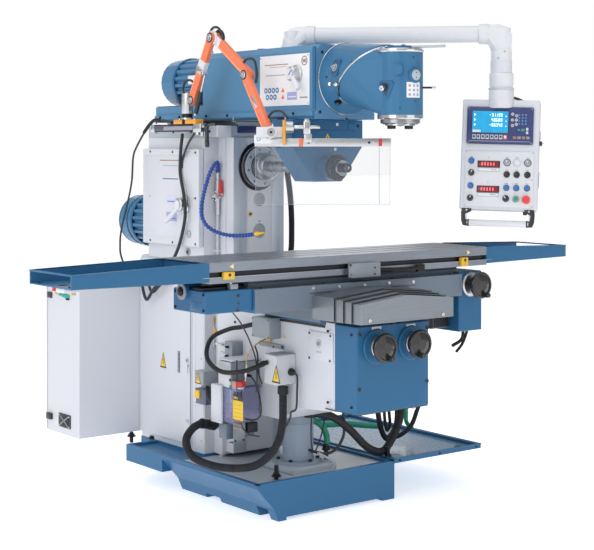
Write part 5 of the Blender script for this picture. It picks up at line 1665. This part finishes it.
# cable glands where the lines enter the column side
for k in range(5):
    gy = 640 - k * 52
    cdr.add(rod((-238, gy, 1002 - k * 2), (-262, gy, 1002 - k * 2), 13, 13, 8, 1.5), CONDUIT)
    cdr.add(rod((-262, gy, 1002 - k * 2), (-274, gy, 1002 - k * 2), 9, 9, 16), RUBBER)
cdr.done()
cf2 = Piece("column_left_trim", "machine", "white_paint")
cf2.add(box(-231.6, 206, 196, -230, 240.5, 1108, 0.4), WHITE)
cf2.add(box(-233.2, 228, 200, -230.4, 231, 1108, 0.6), LIGHTGREY)
cf2.add(box(-233.2, 238.2, 200, -230.4, 241.0, 1108, 0.6), LIGHTGREY)
cf2.add(box(-231.4, 130, 1108, -230, 642, 1112, 0.4), LIGHTGREY)
for (z) in (1080, 870, 640, 420, 240):
    cf2.add(rod((-230, 152, z), (-232.4, 152, z), 4.5, 4.5, 16), LIGHTGREY)
for x in (-174, -152):
    cf2.add(rod((x, 126, 690), (x, 126, 840), 2.8, 2.8, 10), LIGHTPL)
    cf2.add(rod((x, 126, 812), (x, 126, 842), 4.6, 4.6, 14), BRASS)
    cf2.add(box(x - 5, 123, 686, x + 5, 130.4, 694, 1), CHROME)
    cf2.add(box(x - 5, 123, 800, x + 5, 130.4, 808, 1), CHROME)
cf2.add(lathe([(0, 0), (11, 0), (12.5, 2), (12.5, 9), (10, 12), (0, 12.5)], (0, -1, 0), (-166, 129, 772), 24), YELLOW)
cf2.done()

# cables down the left side
lc = Piece("left_cables", ("machine", "column_door_leaf", (0, 0, 1180), (0, 0, 1050)), "black_plastic")
C_ = [(-300, 211.7, 1734), (-292, 237.3, 1675.6), (-280, 262.9, 1611.8), (-276, 269, 1538.1), (-290, 212.8, 1424.5), (-292, 202.6, 1326.9), (-280, 269.1, 1195.4), (-300, 305.9, 1104.6), (-300, 379, 1025.6), (-292, 494.4, 951.5), (-276, 586.9, 897.4), (-276, 640, 1002)]
lc.add(tube(C_, 8.5, 14, ribs=(7, 0.9)), CABLE)
lc.add(tube([(-300, 110.8, 1733.2), (-290, 169.5, 1694.9), (-284, 208.6, 1656), (-270, 257.6, 1611.8), (-268, 265.1, 1567.5)], 5.5, 10), CABLE)
lc.add(tube([(-290, 376.3, 1020.2), (-290, 431.9, 981.3), (-284, 516.7, 939.1), (-268, 590, 1000)], 7, 12), CABLE)
lc.add(tube([(-330, 259.2, 1790.3), (-335, 314.8, 1800.9), (-340, 400.7, 1804.6), (-340, 445.6, 1785.4), (-340, 502.3, 1741), (-338, 572.6, 1675.9), (-330, 622.7, 1620), (-320, 654.9, 1492.1), (-310, 716.9, 1372.5), (-305, 779.3, 1251.2), (-305, 795.4, 1167.4), (-305, 775.3, 1090.7), (-300, 654.6, 964.9), (-290, 660, 1003), (-268, 640, 1003)], 5, 10), CABLE)
lc.add(tube([(-338, 355.8, 1803.9), (-340, 400.7, 1804.6), (-340, 445.6, 1785.4), (-340, 502.3, 1743.5)], 8.5, 14), RUBBER)
lc.done()

# rear drive motor
mt = Piece("spindle_motor_trim", "machine", "blue_paint")
mz = 1276
mt.add(lathe([(137, 0), (141, 0), (142, 3), (142, 16), (137, 18)], (0, 1, 0), (0, 952, mz), 60), BLUE)
mt.add(lathe([(139.2, 0), (141, 3), (140, 14), (138.6, 16)], (0, 1, 0), (0, 1004, mz), 60), BLUE)
mt.add(lathe([(120, 0), (130, 0), (133, -4), (134, -12), (133.4, -14)], (0, 1, 0), (0, 1101.2, mz), 60), BLUE)
mt.add(lathe([(0, 0), (94, 0), (94, 1.2), (0, 1.2)], (0, 1, 0), (0, 1100.2, mz), 48), DARKPAINT)
fan_grille(mt, 0, 1101.4, mz, 92, 7)
mt.add(lathe([(150.5, 0), (152, 2), (152, 20), (146, 25), (138, 25)], (0, 1, 0), (0, 643, mz), 60), BLUE)
for i in range(4):
    a = math.tau * (i + 0.5) / 4
    mt.add(cap_screw((146 * math.cos(a) * 0.97, 667.5, mz + 146 * math.sin(a) * 0.97), (0, 1, 0), 7, 6), DARK)
mt.add(box(112, 694, mz - 26, 190, 846, mz + 84, 5, 3), BLUE)
mt.add(rod((150, 700, mz - 24), (150, 700, mz - 52), 12, 11, 18), RUBBER)
mt.add(tube([(150, 700, mz - 48), (152, 690, mz - 110), (170, 660, mz - 190), (200, 600, mz - 240), (226, 560, mz - 260)], 9, 12, ribs=(7, 1.2)), CONDUIT)

mt.done()

# ===================================================================== floor, light, camera
def pale_floor():
    bm = bmesh.new()
    s = 60.0
    vs = [bm.verts.new(p) for p in ((-s, -s, 0), (s, -s, 0), (s, s, 0), (-s, s, 0))]
    bm.faces.new(vs)
    me = bpy.data.meshes.new("floor")
    bm.to_mesh(me)
    bm.free()
    t = Tree("pale_floor")
    c = t.mix(t.noise(1.4, 4), (0.93, 0.93, 0.935), (0.96, 0.96, 0.965))
    t.link(c, t.b.inputs["Base Color"])
    t.link(t.mix(0.5, (1, 1, 1), c), t.b.inputs["Emission Color"])
    t.b.inputs["Emission Strength"].default_value = 0.60
    t.b.inputs["Roughness"].default_value = 0.75
    t.b.inputs["Specular IOR Level"].default_value = 0.15
    me.materials.append(t.m)
    ob = bpy.data.objects.new("floor", me)
    ob.location = (0, 0, -0.001)
    scene.collection.objects.link(ob)
pale_floor()

world = scene.world or bpy.data.worlds.new("studio")
scene.world = world
world.use_nodes = True
wt = world.node_tree
wt.nodes.clear()
out = wt.nodes.new("ShaderNodeOutputWorld")
white = wt.nodes.new("ShaderNodeBackground")
white.inputs[0].default_value = (1, 1, 1, 1)
white.inputs[1].default_value = 1.0
room = wt.nodes.new("ShaderNodeBackground")
geo = wt.nodes.new("ShaderNodeTexCoord")
sep = wt.nodes.new("ShaderNodeSeparateXYZ")
wt.links.new(geo.outputs["Generated"], sep.inputs[0])
def wramp(sock, stops):
    n = wt.nodes.new("ShaderNodeValToRGB")
    m = wt.nodes.new("ShaderNodeMapRange")
    m.inputs["From Min"].default_value = -1
    m.inputs["From Max"].default_value = 1
    wt.links.new(sock, m.inputs["Value"])
    wt.links.new(m.outputs[0], n.inputs[0])
    e = n.color_ramp.elements
    while len(e) < len(stops):
        e.new(0.5)
    for el, (p, c) in zip(e, stops):
        el.position = p
        el.color = (c, c, c, 1)
    return n.outputs[0]
rx = wramp(sep.outputs["X"], [(0.0, 1.0), (0.30, 0.80), (0.55, 0.42), (1.0, 0.60)])
rz = wramp(sep.outputs["Z"], [(0.0, 0.55), (0.48, 0.50), (0.60, 0.75), (0.85, 1.0), (1.0, 1.0)])
mul = wt.nodes.new("ShaderNodeMix")
mul.data_type = 'RGBA'
mul.blend_type = 'MULTIPLY'
mul.inputs[0].default_value = 1.0
wt.links.new(rx, mul.inputs[6])
wt.links.new(rz, mul.inputs[7])
wt.links.new(mul.outputs[2], room.inputs[0])
room.inputs[1].default_value = 0.92
lp = wt.nodes.new("ShaderNodeLightPath")
ms = wt.nodes.new("ShaderNodeMixShader")
wt.links.new(lp.outputs["Is Camera Ray"], ms.inputs[0])
wt.links.new(room.outputs[0], ms.inputs[1])
wt.links.new(white.outputs[0], ms.inputs[2])
wt.links.new(ms.outputs[0], out.inputs[0])

def area(name, loc, target, size, power, size_y=None, color=(1, 1, 1)):
    d = bpy.data.lights.new(name, 'AREA')
    d.energy = power
    d.color = color
    d.shape = 'RECTANGLE'
    d.size = size
    d.size_y = size_y or size
    o = bpy.data.objects.new(name, d)
    o.location = loc
    o.rotation_mode = 'QUATERNION'
    o.rotation_quaternion = (Vector(target) - Vector(loc)).to_track_quat('-Z', 'Y')
    scene.collection.objects.link(o)
    return o
area("key_left", (-5.2, -1.8, 3.4), (0, -0.1, 1.1), 3.6, 80)
area("fill_front", (1.2, -6.2, 2.6), (0, -0.3, 1.1), 4.0, 44)
area("top_soft", (-0.5, -0.8, 5.4), (0, -0.2, 1.0), 4.5, 55)
area("back_rim", (3.0, 5.0, 3.4), (0, 0.2, 1.2), 4.0, 60)

cam_data = bpy.data.cameras.new("camera")
cam = bpy.data.objects.new("camera", cam_data)
scene.collection.objects.link(cam)
cam_data.sensor_fit = 'HORIZONTAL'
cam_data.sensor_width = 36.0
cam_data.lens = 1425.0 * 36.0 / 594.0
cam.location = (-4.108, -5.617, 1.666)
cam.rotation_euler = (math.pi / 2, 0, math.atan2(0.7907, 0.6122) - math.pi / 2)
# lens shift only while the camera stands at its own place: another view starts with none
drv = cam_data.driver_add("shift_y").driver
drv.type = 'SCRIPTED'
v = drv.variables.new()
v.name = "x"
v.type = 'TRANSFORMS'
v.targets[0].id = cam
v.targets[0].transform_type = 'LOC_X'
v.targets[0].transform_space = 'WORLD_SPACE'
drv.expression = "-0.2138 if abs(x + 4.108) < 0.001 else 0.0"
scene.camera = cam

bpy.context.view_layer.update()
